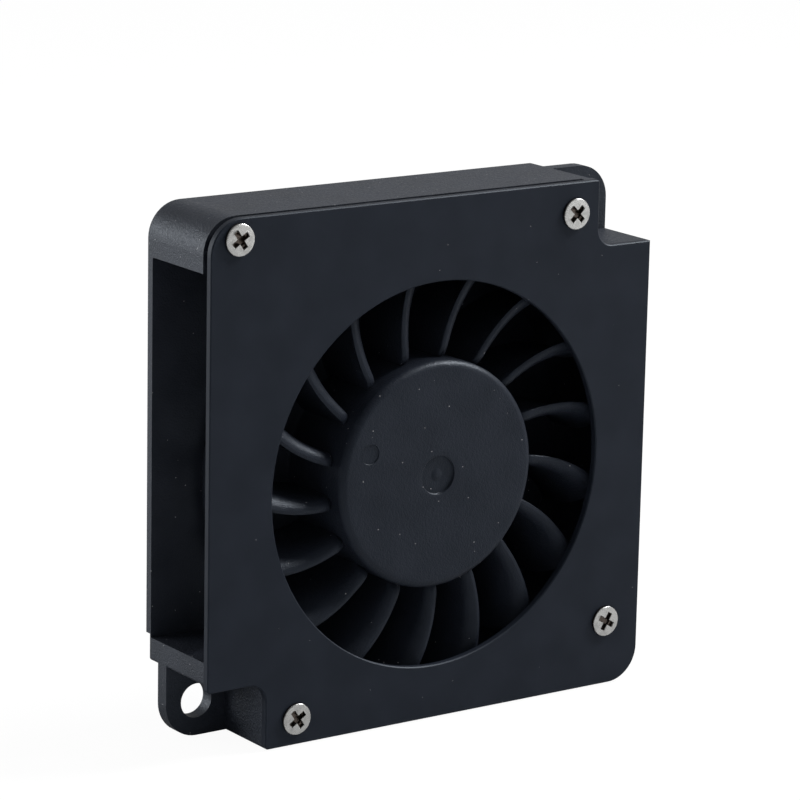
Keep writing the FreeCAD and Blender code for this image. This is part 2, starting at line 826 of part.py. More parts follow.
# Bearings
def race_ring(name, side, front):
    """One ring of a ball bearing, with the track of the balls turned into it."""
    body = new_body(name, ON_AXIS)
    middle = f"({front} + bearing_width / 2)"
    track = "(ball_radius + race_gap)"
    if side == "inner":
        bore, edge, sign = "shaft_radius + seat_gap", "(ball_circle - race_shoulder)", "-"
    else:
        bore, edge, sign = "bearing_radius", "(ball_circle + race_shoulder)", "+"
    rise = f"sqrt({track}^2 - race_shoulder^2)"
    add_turned(body, [
        (bore, front),
        (edge, front),
        (edge, f"{middle} - {rise}"),
        (edge, f"{middle} + {rise}", "via", f"ball_circle {sign} {track}", middle),
        (edge, f"{front} + bearing_width"),
        (bore, f"{front} + bearing_width"),
    ])
    return keep(body)


def make_bearing(name, front):
    race_ring(f"{name}_outer_ring", "outer", front)
    race_ring(f"{name}_inner_ring", "inner", front)
    middle = f"{front} + bearing_width / 2"
    balls = []
    for number in range(SIZES["ball_count"]):
        angle = f"{number} * 360 / ball_count"
        ball = doc.addObject("Part::Sphere", f"{name}_ball_{number + 1}")
        ball.setExpression("Radius", formula("ball_radius"))
        across = f"axis_across - case_width / 2 + ball_circle * cos({angle})"
        ball.setExpression("Placement.Base.x", formula(across))
        ball.setExpression("Placement.Base.y", formula(f"{middle} + {FRAME_DEPTH}"))
        ball.setExpression("Placement.Base.z", formula(f"axis_up + ball_circle * sin({angle})"))
        balls.append(ball)
    group = doc.addObject("Part::Compound", f"{name}_balls")
    group.Label = f"{name}_balls"
    group.Links = balls
    doc.recompute()
    keep(group)
    shields = []
    for number, start in enumerate((
        f"{front} + shield_inset",
        f"{front} + bearing_width - shield_inset - shield_thickness",
    ), start=1):
        shield = new_body(f"{name}_shield_{number}", ON_AXIS)
        add_turned(shield, tube_profile(
            "ball_circle - race_shoulder + shield_gap",
            "ball_circle + race_shoulder - seat_gap",
            start,
            f"{start} + shield_thickness",
        ))
        shields.append(shield)
    pair = doc.addObject("Part::Compound", f"{name}_shields")
    pair.Label = f"{name}_shields"
    pair.Links = shields
    doc.recompute()
    keep(pair)


def make_tube():
    """The tube that carries both bearings, with a shoulder between them."""
    body = new_body("bearing_tube", ON_AXIS)
    shoulder = "tube_inner - tube_shoulder"
    add_turned(body, [
        ("tube_inner", "tube_front"),
        ("tube_radius", "tube_front"),
        ("tube_radius", "tube_back"),
        ("tube_inner", "tube_back"),
        ("tube_inner", "rear_bearing - seat_gap"),
        (shoulder, "rear_bearing - seat_gap"),
        (shoulder, "front_bearing_back + seat_gap"),
        ("tube_inner", "front_bearing_back + seat_gap"),
    ])
    return keep(body)


# Stator
def pole_sketch(body, depth, width, end):
    """A straight arm from the core's hub to a radius, along the first pole."""
    sketch = new_sketch(body, "arm", away=depth)
    start = "(core_inner + core_ring / 2)"
    outline(sketch, [
        (start, f"-{width} / 2"),
        (end, f"-{width} / 2"),
        (end, f"{width} / 2"),
        (start, f"{width} / 2"),
    ])
    return sketch


def make_core():
    body = new_body("stator_core", ON_AXIS)
    ring = new_sketch(body, "ring", away="core_front")
    circle(ring, "0", "0", "core_hub")
    circle(ring, "0", "0", "core_inner")
    add_pad(body, ring, "core_back - core_front")
    arm = pole_sketch(body, "core_front", "pole_width", "(core_radius - shoe_thickness / 2)")
    add_polar(body, [add_pad(body, arm, "core_back - core_front")], "pole_count")
    shoe = new_sketch(body, "shoe", away="core_front")
    inner = "(core_radius - shoe_thickness)"

    def spot(radius, angle):
        return f"{radius} * cos({angle})", f"{radius} * sin({angle})"

    outline(shoe, [
        (*spot(inner, "-shoe_angle"), "via", inner, "0"),
        spot("core_radius", "-shoe_angle"),
        (*spot("core_radius", "shoe_angle"), "via", "core_radius", "0"),
        spot(inner, "shoe_angle"),
    ])
    add_polar(body, [add_pad(body, shoe, "core_back - core_front")], "pole_count")
    return keep(body)


def make_insulator(name, start, toward_back, lugs):
    """A moulded face of the bobbin: a hub, an arm over each pole and a flange that holds the coil."""
    body = new_body(name, ON_AXIS)
    edge = f"{start} + insulator_thickness" if toward_back else start
    ring = new_sketch(body, "ring", away=start)
    circle(ring, "0", "0", "core_hub + insulator_margin")
    circle(ring, "0", "0", "core_inner")
    add_pad(body, ring, "insulator_thickness")
    width = "(pole_width + 2 * insulator_margin)"
    arm = pole_sketch(body, start, width, "(core_radius - shoe_thickness)")
    add_polar(body, [add_pad(body, arm, "insulator_thickness")], "pole_count")
    flange = new_sketch(body, "flange", away=edge)
    outer = "(core_radius - shoe_thickness)"
    outline(flange, [
        (f"{outer} - flange_thickness", "-flange_width / 2"),
        (outer, "-flange_width / 2"),
        (outer, "flange_width / 2"),
        (f"{outer} - flange_thickness", "flange_width / 2"),
    ])
    add_polar(body, [add_pad(body, flange, "flange_height", toward_back)], "pole_count")
    if lugs:
        post = new_sketch(body, "board_post", away=edge)
        circle(post, "0", "0", "core_hub")
        circle(post, "0", "0", "core_inner")
        add_pad(body, post, "board_front - insulator_back - seat_gap")
        lug = new_sketch(body, "pin_lug", away=start)
        inner, outer = "(core_hub - insulator_margin)", "(pin_circle + lug_width / 2)"
        slant = "lug_width / 2 * cos(45)"
        outline(lug, [
            (f"{inner} * cos(45) + {slant}", f"{inner} * cos(45) - {slant}"),
            (f"{outer} * cos(45) + {slant}", f"{outer} * cos(45) - {slant}"),
            (f"{outer} * cos(45) - {slant}", f"{outer} * cos(45) + {slant}"),
            (f"{inner} * cos(45) - {slant}", f"{inner} * cos(45) + {slant}"),
        ])
        add_polar(body, [add_pad(body, lug, "insulator_thickness")], "pole_count")
        pin_holes(body, start, "insulator_thickness", "seat_gap")
    return keep(body)


def pin_spots():
    """Where the winding pins stand: between the poles."""
    for number in range(SIZES["pole_count"]):
        angle = f"({number} + 0.5) * 360 / pole_count"
        yield f"pin_circle * cos({angle})", f"pin_circle * sin({angle})"


def pin_holes(body, depth, length, gap):
    holes = new_sketch(body, "pin_holes", away=depth)
    for across, up in pin_spots():
        circle(holes, across, up, f"pin_radius + {gap}")
    add_pocket(body, holes, length)


def make_coils():
    """Each coil is a rounded ring of wire around one pole."""
    for number in range(SIZES["pole_count"]):
        coil = new_body(f"coil_{number + 1}", ON_AXIS, f"{number} * 360 / pole_count")
        sketch = new_sketch(coil, "winding", "YZ_Plane", "coil_start")
        for grown, rounding in (("coil_build", "coil_round"), ("seat_gap", "seat_gap")):
            front, back = f"insulator_front - {grown}", f"insulator_back + {grown}"
            side = f"(pole_width / 2 + insulator_margin + {grown})"
            outline(sketch, [
                (front, f"-{side}", rounding),
                (back, f"-{side}", rounding),
                (back, side, rounding),
                (front, side, rounding),
            ])
        winding = coil.newObject("PartDesign::Pad", "pad")
        winding.Profile = sketch
        winding.setExpression("Length", formula("coil_end - coil_start"))
        doc.recompute()
        keep(coil)


def make_pins():
    pins = []
    for number, (across, up) in enumerate(pin_spots(), start=1):
        pin = doc.addObject("Part::Cylinder", f"winding_pin_{number}")
        pin.setExpression("Radius", formula("pin_radius"))
        pin.setExpression("Height", formula("board_back + pin_tail - core_back - seat_gap"))
        pin.Placement.Rotation = FreeCAD.Rotation(Vector(1, 0, 0), -90)
        pin.setExpression("Placement.Base.x", formula(f"axis_across - case_width / 2 + {across}"))
        pin.setExpression("Placement.Base.y", formula(f"core_back + seat_gap + {FRAME_DEPTH}"))
        pin.setExpression("Placement.Base.z", formula(f"axis_up + {up}"))
        pins.append(pin)
    group = doc.addObject("Part::Compound", "winding_pins")
    group.Label = "winding_pins"
    group.Links = pins
    doc.recompute()
    keep(group)


# Circuit board
def make_board():
    body = new_body("circuit_board", ON_AXIS)
    plate = new_sketch(body, "plate", away="board_front")
    circle(plate, "0", "0", "board_radius")
    circle(plate, "0", "0", "tube_radius + seat_gap")
    add_pad(body, plate, "board_thickness")
    flat = new_sketch(body, "flat", away="board_front")
    outline(flat, [
        ("-board_radius", "-board_radius - 1"),
        ("board_radius", "-board_radius - 1"),
        ("board_radius", "-board_flat"),
        ("-board_radius", "-board_flat"),
    ])
    add_pocket(body, flat, "board_thickness")
    pin_holes(body, "board_front", "board_thickness", "pin_hole_gap")
    keep(body)
    for name, (word, turned_on) in BOARD_PARTS.items():
        chip = new_body(name, ON_AXIS, f"{word}_turn + {turned_on}")
        sketch = new_sketch(chip, "outline", away=f"board_front - {word}_height")
        near, far = f"{word}_circle - {word}_length / 2", f"{word}_circle + {word}_length / 2"
        outline(sketch, [
            (near, f"-{word}_width / 2"),
            (far, f"-{word}_width / 2"),
            (far, f"{word}_width / 2"),
            (near, f"{word}_width / 2"),
        ])
        add_pad(chip, sketch, f"{word}_height")
        keep(chip)


# Closing pieces
def make_closing():
    spring = new_body("preload_washer", ON_AXIS)
    bore = "shaft_radius + 2 * seat_gap"
    add_turned(spring, [
        (bore, "bush_back + seat_gap"),
        ("spring_radius", "front_bearing - seat_gap - spring_thickness"),
        ("spring_radius", "front_bearing - seat_gap"),
        (bore, "bush_back + seat_gap + spring_thickness"),
    ])
    keep(spring)
    washer = new_body("thrust_washer", ON_AXIS)
    front = "rear_bearing_back + seat_gap"
    add_turned(washer, tube_profile(bore, "spring_radius", front, f"{front} + washer_thickness"))
    keep(washer)
    clip = new_body("shaft_clip", ON_AXIS)
    ring = new_sketch(clip, "ring", away="clip_front")
    inner = "(shaft_radius - clip_groove + seat_gap)"

    def spot(radius, angle):
        return f"{radius} * cos({angle})", f"{radius} * sin({angle})"

    outline(ring, [
        spot("clip_radius", "clip_mouth / 2"),
        (*spot("clip_radius", "-clip_mouth / 2"), "via", "-clip_radius", "0"),
        spot(inner, "-clip_mouth / 2"),
        (*spot(inner, "clip_mouth / 2"), "via", f"-{inner}", "0"),
    ])
    add_pad(clip, ring, "clip_thickness")
    keep(clip)
    cap = new_body("rear_cap", ON_AXIS)
    front = "tube_back + seat_gap"
    spigot = "(tube_inner - seat_gap)"
    add_turned(cap, [
        ("0", front),
        (f"{spigot} - cap_wall", front),
        (f"{spigot} - cap_wall", f"{front} - cap_spigot"),
        (spigot, f"{front} - cap_spigot"),
        (spigot, front),
        ("cap_radius", front),
        ("cap_radius", f"{front} + cap_thickness - cap_bevel"),
        ("cap_radius - cap_bevel", f"{front} + cap_thickness"),
        ("0", f"{front} + cap_thickness"),
    ])
    keep(cap)


def check_model():
    """Stops the build when anything in the document failed or came out empty."""
    for item in doc.Objects:
        if "Invalid" in item.State or "Error" in item.State:
            raise RuntimeError(f"{item.Label} failed: {item.State}")
    for node in made:
        if node.Shape.isNull() or not node.Shape.isValid() or not node.Shape.Solids:
            raise RuntimeError(f"{node.Label} has no sound shape")


fill_sheet()
make_case()
make_cover()
make_screws()
make_impeller()
make_rotor()
make_bearing("front_bearing", "front_bearing")
make_bearing("rear_bearing", "rear_bearing")
make_tube()
make_core()
make_insulator("front_insulator", "insulator_front", False, False)
make_insulator("rear_insulator", "core_back", True, True)
make_coils()
make_pins()
make_board()
make_closing()
doc.recompute()
check_model()
os.makedirs("parts", exist_ok=True)
for node in made:
    node.Shape.exportStep(f"parts/{node.Label}.step")
    print(f"{node.Label}: {len(node.Shape.Solids)} solids, {node.Shape.Volume:.1f} cubic millimetres")
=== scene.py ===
"""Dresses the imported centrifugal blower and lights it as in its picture.

The case, the cover, the motor and the bearings keep their solids and get their finishes here. The
screws, the hub, the blades and the coils are made again, with the marks that moulding and driving
leave on them and every turn of wire. Lengths are in metres: X to the right, Y to the back, Z up.
"""

from __future__ import annotations

import json
import logging
import math
from dataclasses import dataclass, field, replace
from enum import Enum
from typing import Any, Mapping, Optional, Sequence, Union

import bmesh
import bpy
from bmesh.types import BMesh, BMVert
from bpy.types import Material, Mesh, NodeSocket, NodeTree, Object
from mathutils import Matrix, Vector


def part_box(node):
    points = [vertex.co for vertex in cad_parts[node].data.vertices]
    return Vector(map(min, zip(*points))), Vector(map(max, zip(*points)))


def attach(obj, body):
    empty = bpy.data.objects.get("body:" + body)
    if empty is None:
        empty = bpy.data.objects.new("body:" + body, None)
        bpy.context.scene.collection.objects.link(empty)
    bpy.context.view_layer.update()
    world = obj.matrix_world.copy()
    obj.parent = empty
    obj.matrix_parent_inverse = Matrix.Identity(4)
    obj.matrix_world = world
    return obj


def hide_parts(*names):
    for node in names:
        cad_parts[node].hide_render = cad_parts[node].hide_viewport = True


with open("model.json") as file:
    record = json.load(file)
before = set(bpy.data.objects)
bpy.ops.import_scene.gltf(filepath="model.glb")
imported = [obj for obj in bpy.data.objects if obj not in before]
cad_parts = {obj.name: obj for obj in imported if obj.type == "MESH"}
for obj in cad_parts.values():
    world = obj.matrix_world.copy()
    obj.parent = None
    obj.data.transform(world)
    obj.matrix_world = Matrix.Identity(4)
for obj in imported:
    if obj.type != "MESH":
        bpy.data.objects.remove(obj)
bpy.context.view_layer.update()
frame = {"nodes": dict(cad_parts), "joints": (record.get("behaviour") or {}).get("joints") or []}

LOG = logging.getLogger("blower")
MM = 0.001
TURN = 2 * math.pi
# Radians in a metre of a wave texture whose scale is one.
WAVE_RATE = 20

Pair = tuple[float, float]
Colour = tuple[float, float, float]
Point = tuple[float, float, float]
Inputs = Mapping[Union[int, str], Any]
Value = Union["Signal", float]
Row = list[BMVert]


# Node helpers


class Signal:
    """One output socket of a node tree, with arithmetic that adds Math nodes."""

    def __init__(self, board: Board, socket: NodeSocket) -> None:
        """Keeps the socket and the board that it is on."""
        self.board = board
        self.socket = socket

    def _math(self, operation: str, *values: Value) -> Signal:
        """Adds one Math node."""
        return self.board.node("ShaderNodeMath", {"operation": operation}, dict(enumerate(values)))

    def __add__(self, other: Value) -> Signal:
        """This plus other."""
        return self._math("ADD", self, other)

    __radd__ = __add__

    def __mul__(self, other: Value) -> Signal:
        """This times other."""
        return self._math("MULTIPLY", self, other)

    __rmul__ = __mul__

    def __sub__(self, other: Value) -> Signal:
        """This less other."""
        return self._math("SUBTRACT", self, other)

    def __rsub__(self, other: Value) -> Signal:
        """Other less this."""
        return self._math("SUBTRACT", other, self)

    def __truediv__(self, other: Value) -> Signal:
        """This over other."""
        return self._math("DIVIDE", self, other)

    def __rtruediv__(self, other: Value) -> Signal:
        """Other over this."""
        return self._math("DIVIDE", other, self)

    def __mod__(self, other: Value) -> Signal:
        """What is left of this after whole others."""
        return self._math("MODULO", self, other)

    def __rmod__(self, other: Value) -> Signal:
        """What is left of other after whole counts of this."""
        return self._math("MODULO", other, self)

    def floor(self) -> Signal:
        """The whole number below this."""
        return self._math("FLOOR", self)

    def below(self, level: Value) -> Signal:
        """One where this is less than level, else nought."""
        return self._math("LESS_THAN", self, level)

    def most(self, other: Value) -> Signal:
        """The greater of this and other."""
        return self._math("MAXIMUM", self, other)

    def sine(self) -> Signal:
        """The sine of this, in radians."""
        return self._math("SINE", self)

    def spread(self, low: float, high: float) -> Signal:
        """Nought at low, one at high, smooth between them and level outside."""
        settings = {"interpolation_type": "SMOOTHSTEP"}
        return self.board.node("ShaderNodeMapRange", settings, {0: self, 1: low, 2: high})


class Board:
    """A node tree and the one method that adds nodes to it."""

    def __init__(self, tree: NodeTree) -> None:
        """Takes over an emptied tree."""
        self.tree = tree
        tree.nodes.clear()

    def node(
        self,
        kind: str,
        settings: Optional[Mapping[str, Any]] = None,
        inputs: Optional[Inputs] = None,
        out: Union[int, str] = 0,
    ) -> Optional[Signal]:
        """Adds a node.

        Args:
            kind: the node's type.
            settings: its own properties, which are set first.
            inputs: numbers or signals for its sockets, by name or by place.
            out: the output that is handed back.

        Returns:
            The chosen output, or nothing from a node that has none.
        """
        made = self.tree.nodes.new(kind)
        for name, setting in (settings or {}).items():
            setattr(made, name, setting)
        for key, given in (inputs or {}).items():
            if isinstance(given, Signal):
                self.tree.links.new(given.socket, made.inputs[key])
            else:
                made.inputs[key].default_value = given
        return Signal(self, made.outputs[out]) if made.outputs else None


def opaque(given: Any) -> Any:
    """A colour with its alpha; anything else as it is."""
    return (*given, 1.0) if isinstance(given, tuple) else given


class SurfaceBoard(Board):
    """The nodes of one material, drawn in the piece's own coordinates about its middle."""

    def __init__(self, name: str, centre: Vector) -> None:
        """Starts a material.

        Args:
            name: its name.
            centre: the middle of its patterns.
        """
        self.material = bpy.data.materials.new(name)
        self.material.use_nodes = True
        super().__init__(self.material.node_tree)
        own = self.node("ShaderNodeTexCoord", out="Object")
        self.place = self.node("ShaderNodeMapping", inputs={"Vector": own, "Location": -centre})

    def noise(self, size: float, detail: float = 2.0, place: Optional[Signal] = None) -> Signal:
        """Cloudy noise whose patches are about size metres wide, from nought to one."""
        inputs = {"Vector": place or self.place, "Scale": 1 / size, "Detail": detail}
        return self.node("ShaderNodeTexNoise", inputs=inputs)

    def along(self, axis: str, pitch: float) -> Signal:
        """Even ridges that follow each other along an axis, from minus one to one."""
        run = self.node("ShaderNodeSeparateXYZ", inputs={0: self.place}, out=axis)
        return (run * (TURN / pitch)).sine()

    def specks(self, pitch: float, size: float, share: float) -> Signal:
        """A mask of small round spots.

        Args:
            pitch: the middle distance between possible spots, in metres.
            size: a spot's radius, in metres.
            share: how many of the places hold a spot, from nought to one.

        Returns:
            One on a spot, else nought.
        """
        near = self.node("ShaderNodeTexVoronoi", inputs={"Vector": self.place, "Scale": 1 / pitch})
        tint = Signal(self, near.socket.node.outputs["Color"])
        chance = self.node("ShaderNodeSeparateColor", inputs={0: tint})
        return near.below(size / pitch) * chance.below(share)

    def blend(self, factor: Value, low: Any, high: Any) -> Signal:
        """Low where factor is nought, high where it is one, for colours."""
        inputs = {0: factor, 6: opaque(low), 7: opaque(high)}
        return self.node("ShaderNodeMix", {"data_type": "RGBA", "clamp_factor": True}, inputs, out=2)

    def relief(self, height: Signal, depth: float) -> Signal:
        """A normal from a height signal that is depth metres deep."""
        return self.node("ShaderNodeBump", inputs={"Height": height, "Distance": depth})

    def close(self, surface: Inputs) -> Material:
        """Closes the tree with the surface shader.

        Args:
            surface: numbers, colours or signals for its sockets.

        Returns:
            The finished material.
        """
        inputs = {name: opaque(given) for name, given in surface.items()}
        shader = self.node("ShaderNodeBsdfPrincipled", inputs=inputs)
        self.node("ShaderNodeOutputMaterial", inputs={"Surface": shader})
        return self.material


class Rule(Board):
    """A Geometry Nodes tree with named inputs that turns a seed mesh into a finished one."""

    KINDS = {
        float: "NodeSocketFloat",
        int: "NodeSocketInt",
        Vector: "NodeSocketVector",
        Object: "NodeSocketObject",
        Material: "NodeSocketMaterial",
    }

    def __init__(self, name: str, sizes: Mapping[str, Any], material: Material) -> None:
        """Starts the tree.

        Args:
            name: the tree's name.
            sizes: the named inputs and their values.
            material: what the result is made of.
        """
        super().__init__(bpy.data.node_groups.new(name, "GeometryNodeTree"))
        self.values = {}
        face = self.tree.interface
        face.new_socket("Mesh", in_out="INPUT", socket_type="NodeSocketGeometry")
        face.new_socket("Mesh", in_out="OUTPUT", socket_type="NodeSocketGeometry")
        for label, value in {**sizes, "Material": material}.items():
            kind = next(k for t, k in self.KINDS.items() if isinstance(value, t))
            socket = face.new_socket(label, in_out="INPUT", socket_type=kind)
            self.values[socket.identifier] = value
        self.entry = self.tree.nodes.new("NodeGroupInput")

    def given(self, name: str) -> Signal:
        """The named input."""
        return Signal(self, self.entry.outputs[name])

    def set_out(self, points: Signal, pattern: str, turn: Signal) -> Signal:
        """Sets a pattern object out on points.

        Args:
            points: where it goes.
            pattern: the input that names it.
            turn: its turn about Y at each point.

        Returns:
            The instances.
        """
        spin = self.node("ShaderNodeCombineXYZ", inputs={"Y": turn})
        shape = self.node("GeometryNodeObjectInfo", inputs={0: self.given(pattern)}, out="Geometry")
        inputs = {"Points": points, "Instance": shape, "Rotation": spin}
        return self.node("GeometryNodeInstanceOnPoints", inputs=inputs)

    def run(self, result: Signal, seed: Mesh) -> Mesh:
        """Closes the tree and runs it.

        Args:
            result: the geometry that it gives.
            seed: the mesh that it starts from.

        Returns:
            The plain mesh.
        """
        real = self.node("GeometryNodeRealizeInstances", inputs={0: result})
        inputs = {"Geometry": real, "Material": self.given("Material")}
        dressed = self.node("GeometryNodeSetMaterial", inputs=inputs)
        self.node("NodeGroupOutput", inputs={0: dressed})
        holder = add_object("seed", seed)
        step = holder.modifiers.new("rule", "NODES")
        step.node_group = self.tree
        for identifier, value in self.values.items():
            step[identifier] = value
        graph = bpy.context.evaluated_depsgraph_get()
        mesh = bpy.data.meshes.new_from_object(holder.evaluated_get(graph))
        holder.modifiers.remove(step)
        bpy.data.objects.remove(holder)
        return mesh


# Finishes


@dataclass(frozen=True)
class MouldedPlastic:
    """Black thermoplastic with the tool's fine texture, faint flow mottling and a little dust."""

    name: str
    colour: Colour
    bloom: Colour
    roughness: float = 0.5
    gloss: float = 0.4
    sheen: Colour = (0.74, 0.86, 1.0)
    grain: float = 0.14 * MM
    depth: float = 0.012 * MM
    patch: float = 6 * MM
    unevenness: float = 0.18
    patch_unevenness: float = 0.08
    patch_share: float = 0.7
    pit_scale: float = 3.0
    pit_share: float = 0.6
    tone_range: Pair = (0.3, 0.7)
    dust_colour: Colour = (0.22, 0.22, 0.23)
    dust_pitch: float = 1.3 * MM
    dust_size: float = 0.055 * MM
    dust_share: float = 0.3
    dust_rise: float = 0.5

    def made(self, centre: Vector) -> Material:
        """Makes the material.

        Args:
            centre: the middle of its patterns.

        Returns:
            The material.
        """
        board = SurfaceBoard(self.name, centre)
        flow = board.noise(self.patch, detail=3.0)
        grain = board.noise(self.grain, detail=1.5)
        pits = board.noise(self.grain * self.pit_scale, detail=1.0)
        dust = board.specks(self.dust_pitch, self.dust_size, self.dust_share)
        tone = (flow * self.patch_share + grain * (1 - self.patch_share)).spread(*self.tone_range)
        rough = (grain - 0.5) * self.unevenness + (flow - 0.5) * self.patch_unevenness
        return board.close({
            "Base Color": board.blend(dust, board.blend(tone, self.colour, self.bloom), self.dust_colour),
            "Roughness": self.roughness + rough,
            "Specular IOR Level": self.gloss,
            "Specular Tint": self.sheen,
            "Normal": board.relief(grain + pits * self.pit_share + dust * self.dust_rise, self.depth),
        })


@dataclass(frozen=True)
class BrightSteel:
    """Plated or ground steel with fine scratches, an uneven tone and, where asked, painted shade deep in a
    recess.
    """

    name: str
    colour: Colour = (0.6, 0.6, 0.59)
    stain: Colour = (0.46, 0.46, 0.45)
    # Painted shade: a dark colour laid on all that lies deeper than the recess depth, for the shade inside a
    # screw's cross.
    recess_shade: Colour = (0.12, 0.1, 0.088)
    recess: Optional[float] = None
    recess_shade_fade: float = 0.1 * MM
    roughness: float = 0.28
    patch: float = 0.9 * MM
    stain_range: Pair = (0.35, 0.75)
    scratch: float = 0.05 * MM
    scratch_run: Point = (0.12, 1.0, 1.0)
    depth: float = 0.003 * MM
    patch_unevenness: float = 0.25
    scratch_unevenness: float = 0.12

    def made(self, centre: Vector) -> Material:
        """Makes the material.

        Args:
            centre: the middle of its patterns.

        Returns:
            The material.
        """
        board = SurfaceBoard(self.name, centre)
        cloud = board.noise(self.patch, detail=4.0)
        run = board.node("ShaderNodeMapping", inputs={"Vector": board.place, "Scale": self.scratch_run})
        lines = board.noise(self.scratch, place=run)
        tone = board.blend(cloud.spread(*self.stain_range), self.colour, self.stain)
        # Painted shade: from the recess depth back, the tone is blended to the dark colour.
        if self.recess is not None:
            split = board.node("ShaderNodeSeparateXYZ", inputs={0: board.place}, out="Y")
            tone = board.blend(split.spread(self.recess, self.recess + self.recess_shade_fade), tone, self.recess_shade)
        rough = (cloud - 0.5) * self.patch_unevenness + (lines - 0.5) * self.scratch_unevenness
        return board.close({
            "Base Color": tone,
            "Roughness": self.roughness + rough,
            "Metallic": 1.0,
            "Normal": board.relief(lines, self.depth),
        })


@dataclass(frozen=True)
class Brass:
    """Turned brass with the rings that the tool leaves along its length."""

    name: str
    colour: Colour = (0.62, 0.44, 0.17)
    tarnish: Colour = (0.36, 0.24, 0.1)
    roughness: float = 0.3
    unevenness: float = 0.2
    patch: float = 1.5 * MM
    tarnish_range: Pair = (0.4, 0.8)
    feed: float = 0.12 * MM
    wobble: float = 0.4
    depth: float = 0.004 * MM

    def made(self, centre: Vector) -> Material:
        """Makes the material.

        Args:
            centre: the middle of its patterns.

        Returns:
            The material.
        """
        board = SurfaceBoard(self.name, centre)
        settings = {"wave_type": "BANDS", "bands_direction": "Y", "wave_profile": "SAW"}
        inputs = {"Vector": board.place, "Scale": 1 / (WAVE_RATE * self.feed), "Distortion": self.wobble}
        rings = board.node("ShaderNodeTexWave", settings, inputs)
        cloud = board.noise(self.patch, detail=4.0)
        return board.close({
            "Base Color": board.blend(cloud.spread(*self.tarnish_range), self.colour, self.tarnish),
            "Roughness": self.roughness + (cloud - 0.5) * self.unevenness,
            "Metallic": 1.0,
            "Normal": board.relief(rings, self.depth),
        })


@dataclass(frozen=True)
class Lacquered:
    """A hard coated or moulded part of the motor: laminate, ferrite, epoxy, ceramic or wire enamel."""

    name: str
    colour: Colour
    shade: Colour
    roughness: float = 0.45
    unevenness: float = 0.2
    grain: float = 0.2 * MM
    cloud_scale: float = 12.0
    cloud_share: float = 0.6
    tone_range: Pair = (0.3, 0.7)
    depth: float = 0.006 * MM
    weave: float = 0.0
    weave_rise: float = 0.5
    weave_grain: float = 0.4
    coat: float = 0.0

    def made(self, centre: Vector) -> Material:
        """Makes the material.

        Args:
            centre: the middle of its patterns.

        Returns:
            The material.
        """
        board = SurfaceBoard(self.name, centre)
        grain = board.noise(self.grain, detail=3.0)
        cloud = board.noise(self.grain * self.cloud_scale, detail=3.0)
        height = grain
        if self.weave:
            weft, warp = (board.along(axis, self.weave) for axis in "XZ")
            height = grain * self.weave_grain + weft * warp * self.weave_rise
        tone = (cloud * self.cloud_share + height * (1 - self.cloud_share)).spread(*self.tone_range)
        return board.close({
            "Base Color": board.blend(tone, self.colour, self.shade),
            "Roughness": self.roughness + (grain - 0.5) * self.unevenness,
            "Coat Weight": self.coat,
            "Normal": board.relief(height, self.depth),
        })


Finish = Union[MouldedPlastic, BrightSteel, Brass, Lacquered]


# Pieces


def add_object(name: str, data: Any) -> Object:
    """Puts an object in the scene.

    Args:
        name: its name.
        data: the mesh, lamp or camera that it shows.

    Returns:
        The object.
    """
    made = bpy.data.objects.new(name, data)
    bpy.context.scene.collection.objects.link(made)
    return made


def middle(node: str) -> Vector:
    """The middle of a CAD node's box."""
    low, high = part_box(node)
    return (low + high) / 2


def dress(nodes: Sequence[str], finish: Finish) -> None:
    """Gives CAD nodes that keep their shape their finish.

    Args:
        nodes: the nodes' names.
        finish: the finish, which makes one material for each node.
    """
    for name in nodes:
        node = frame["nodes"][name]
        material = finish.made(middle(name))
        node.data.materials.clear()
        node.data.materials.append(material)
        LOG.info("%s dressed as %s", name, finish.name)


def shade(mesh: Mesh, angle: float) -> None:
    """Shades a mesh smooth, apart from edges sharper than angle, in degrees."""
    mesh.polygons.foreach_set("use_smooth", [True] * len(mesh.polygons))
    mesh.set_sharp_from_angle(angle=math.radians(angle))


def close_shape(shape: BMesh, mesh: Mesh) -> Mesh:
    """Turns a shape's faces outward and ends it.

    Args:
        shape: the shape.
        mesh: the mesh that takes it over.

    Returns:
        The mesh.
    """
    bmesh.ops.recalc_face_normals(shape, faces=shape.faces)
    shape.to_mesh(mesh)
    shape.free()
    return mesh


def ring_of(radius: float, angles: Sequence[float]) -> list[Pair]:
    """Points of a circle about the axis, at the given angles."""
    return [(radius * math.cos(a), radius * math.sin(a)) for a in angles]


def row_of(shape: BMesh, points: Sequence[Pair], depth: float) -> Row:
    """Vertices at points across the axis, all at one depth."""
    return [shape.verts.new((x, depth, z)) for x, z in points]


def join_rows(shape: BMesh, rows: Sequence[Row]) -> None:
    """Makes the faces between closed rows of equal length.

    Args:
        shape: what they belong to.
        rows: the rows in order; one repeated vertex makes a cap.
    """
    for first, second in zip(rows, rows[1:]):
        for i in range(len(first)):
            j = (i + 1) % len(first)
            corners = list(dict.fromkeys([first[i], first[j], second[j], second[i]]))
            if len(corners) > 2:
                shape.faces.new(corners)


def place_piece(name: str, mesh: Mesh, body: str, nodes: Sequence[str]) -> None:
    """Puts a finished mesh on its body in place of CAD nodes.

    Args:
        name: the piece's name.
        mesh: its mesh, in place.
        body: the body that it rides on.
        nodes: the CAD nodes that it stands for.
    """
    piece = add_object(name, mesh)
    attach(piece, body)
    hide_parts(*nodes)
    LOG.info("%s made with %d faces", name, len(mesh.polygons))


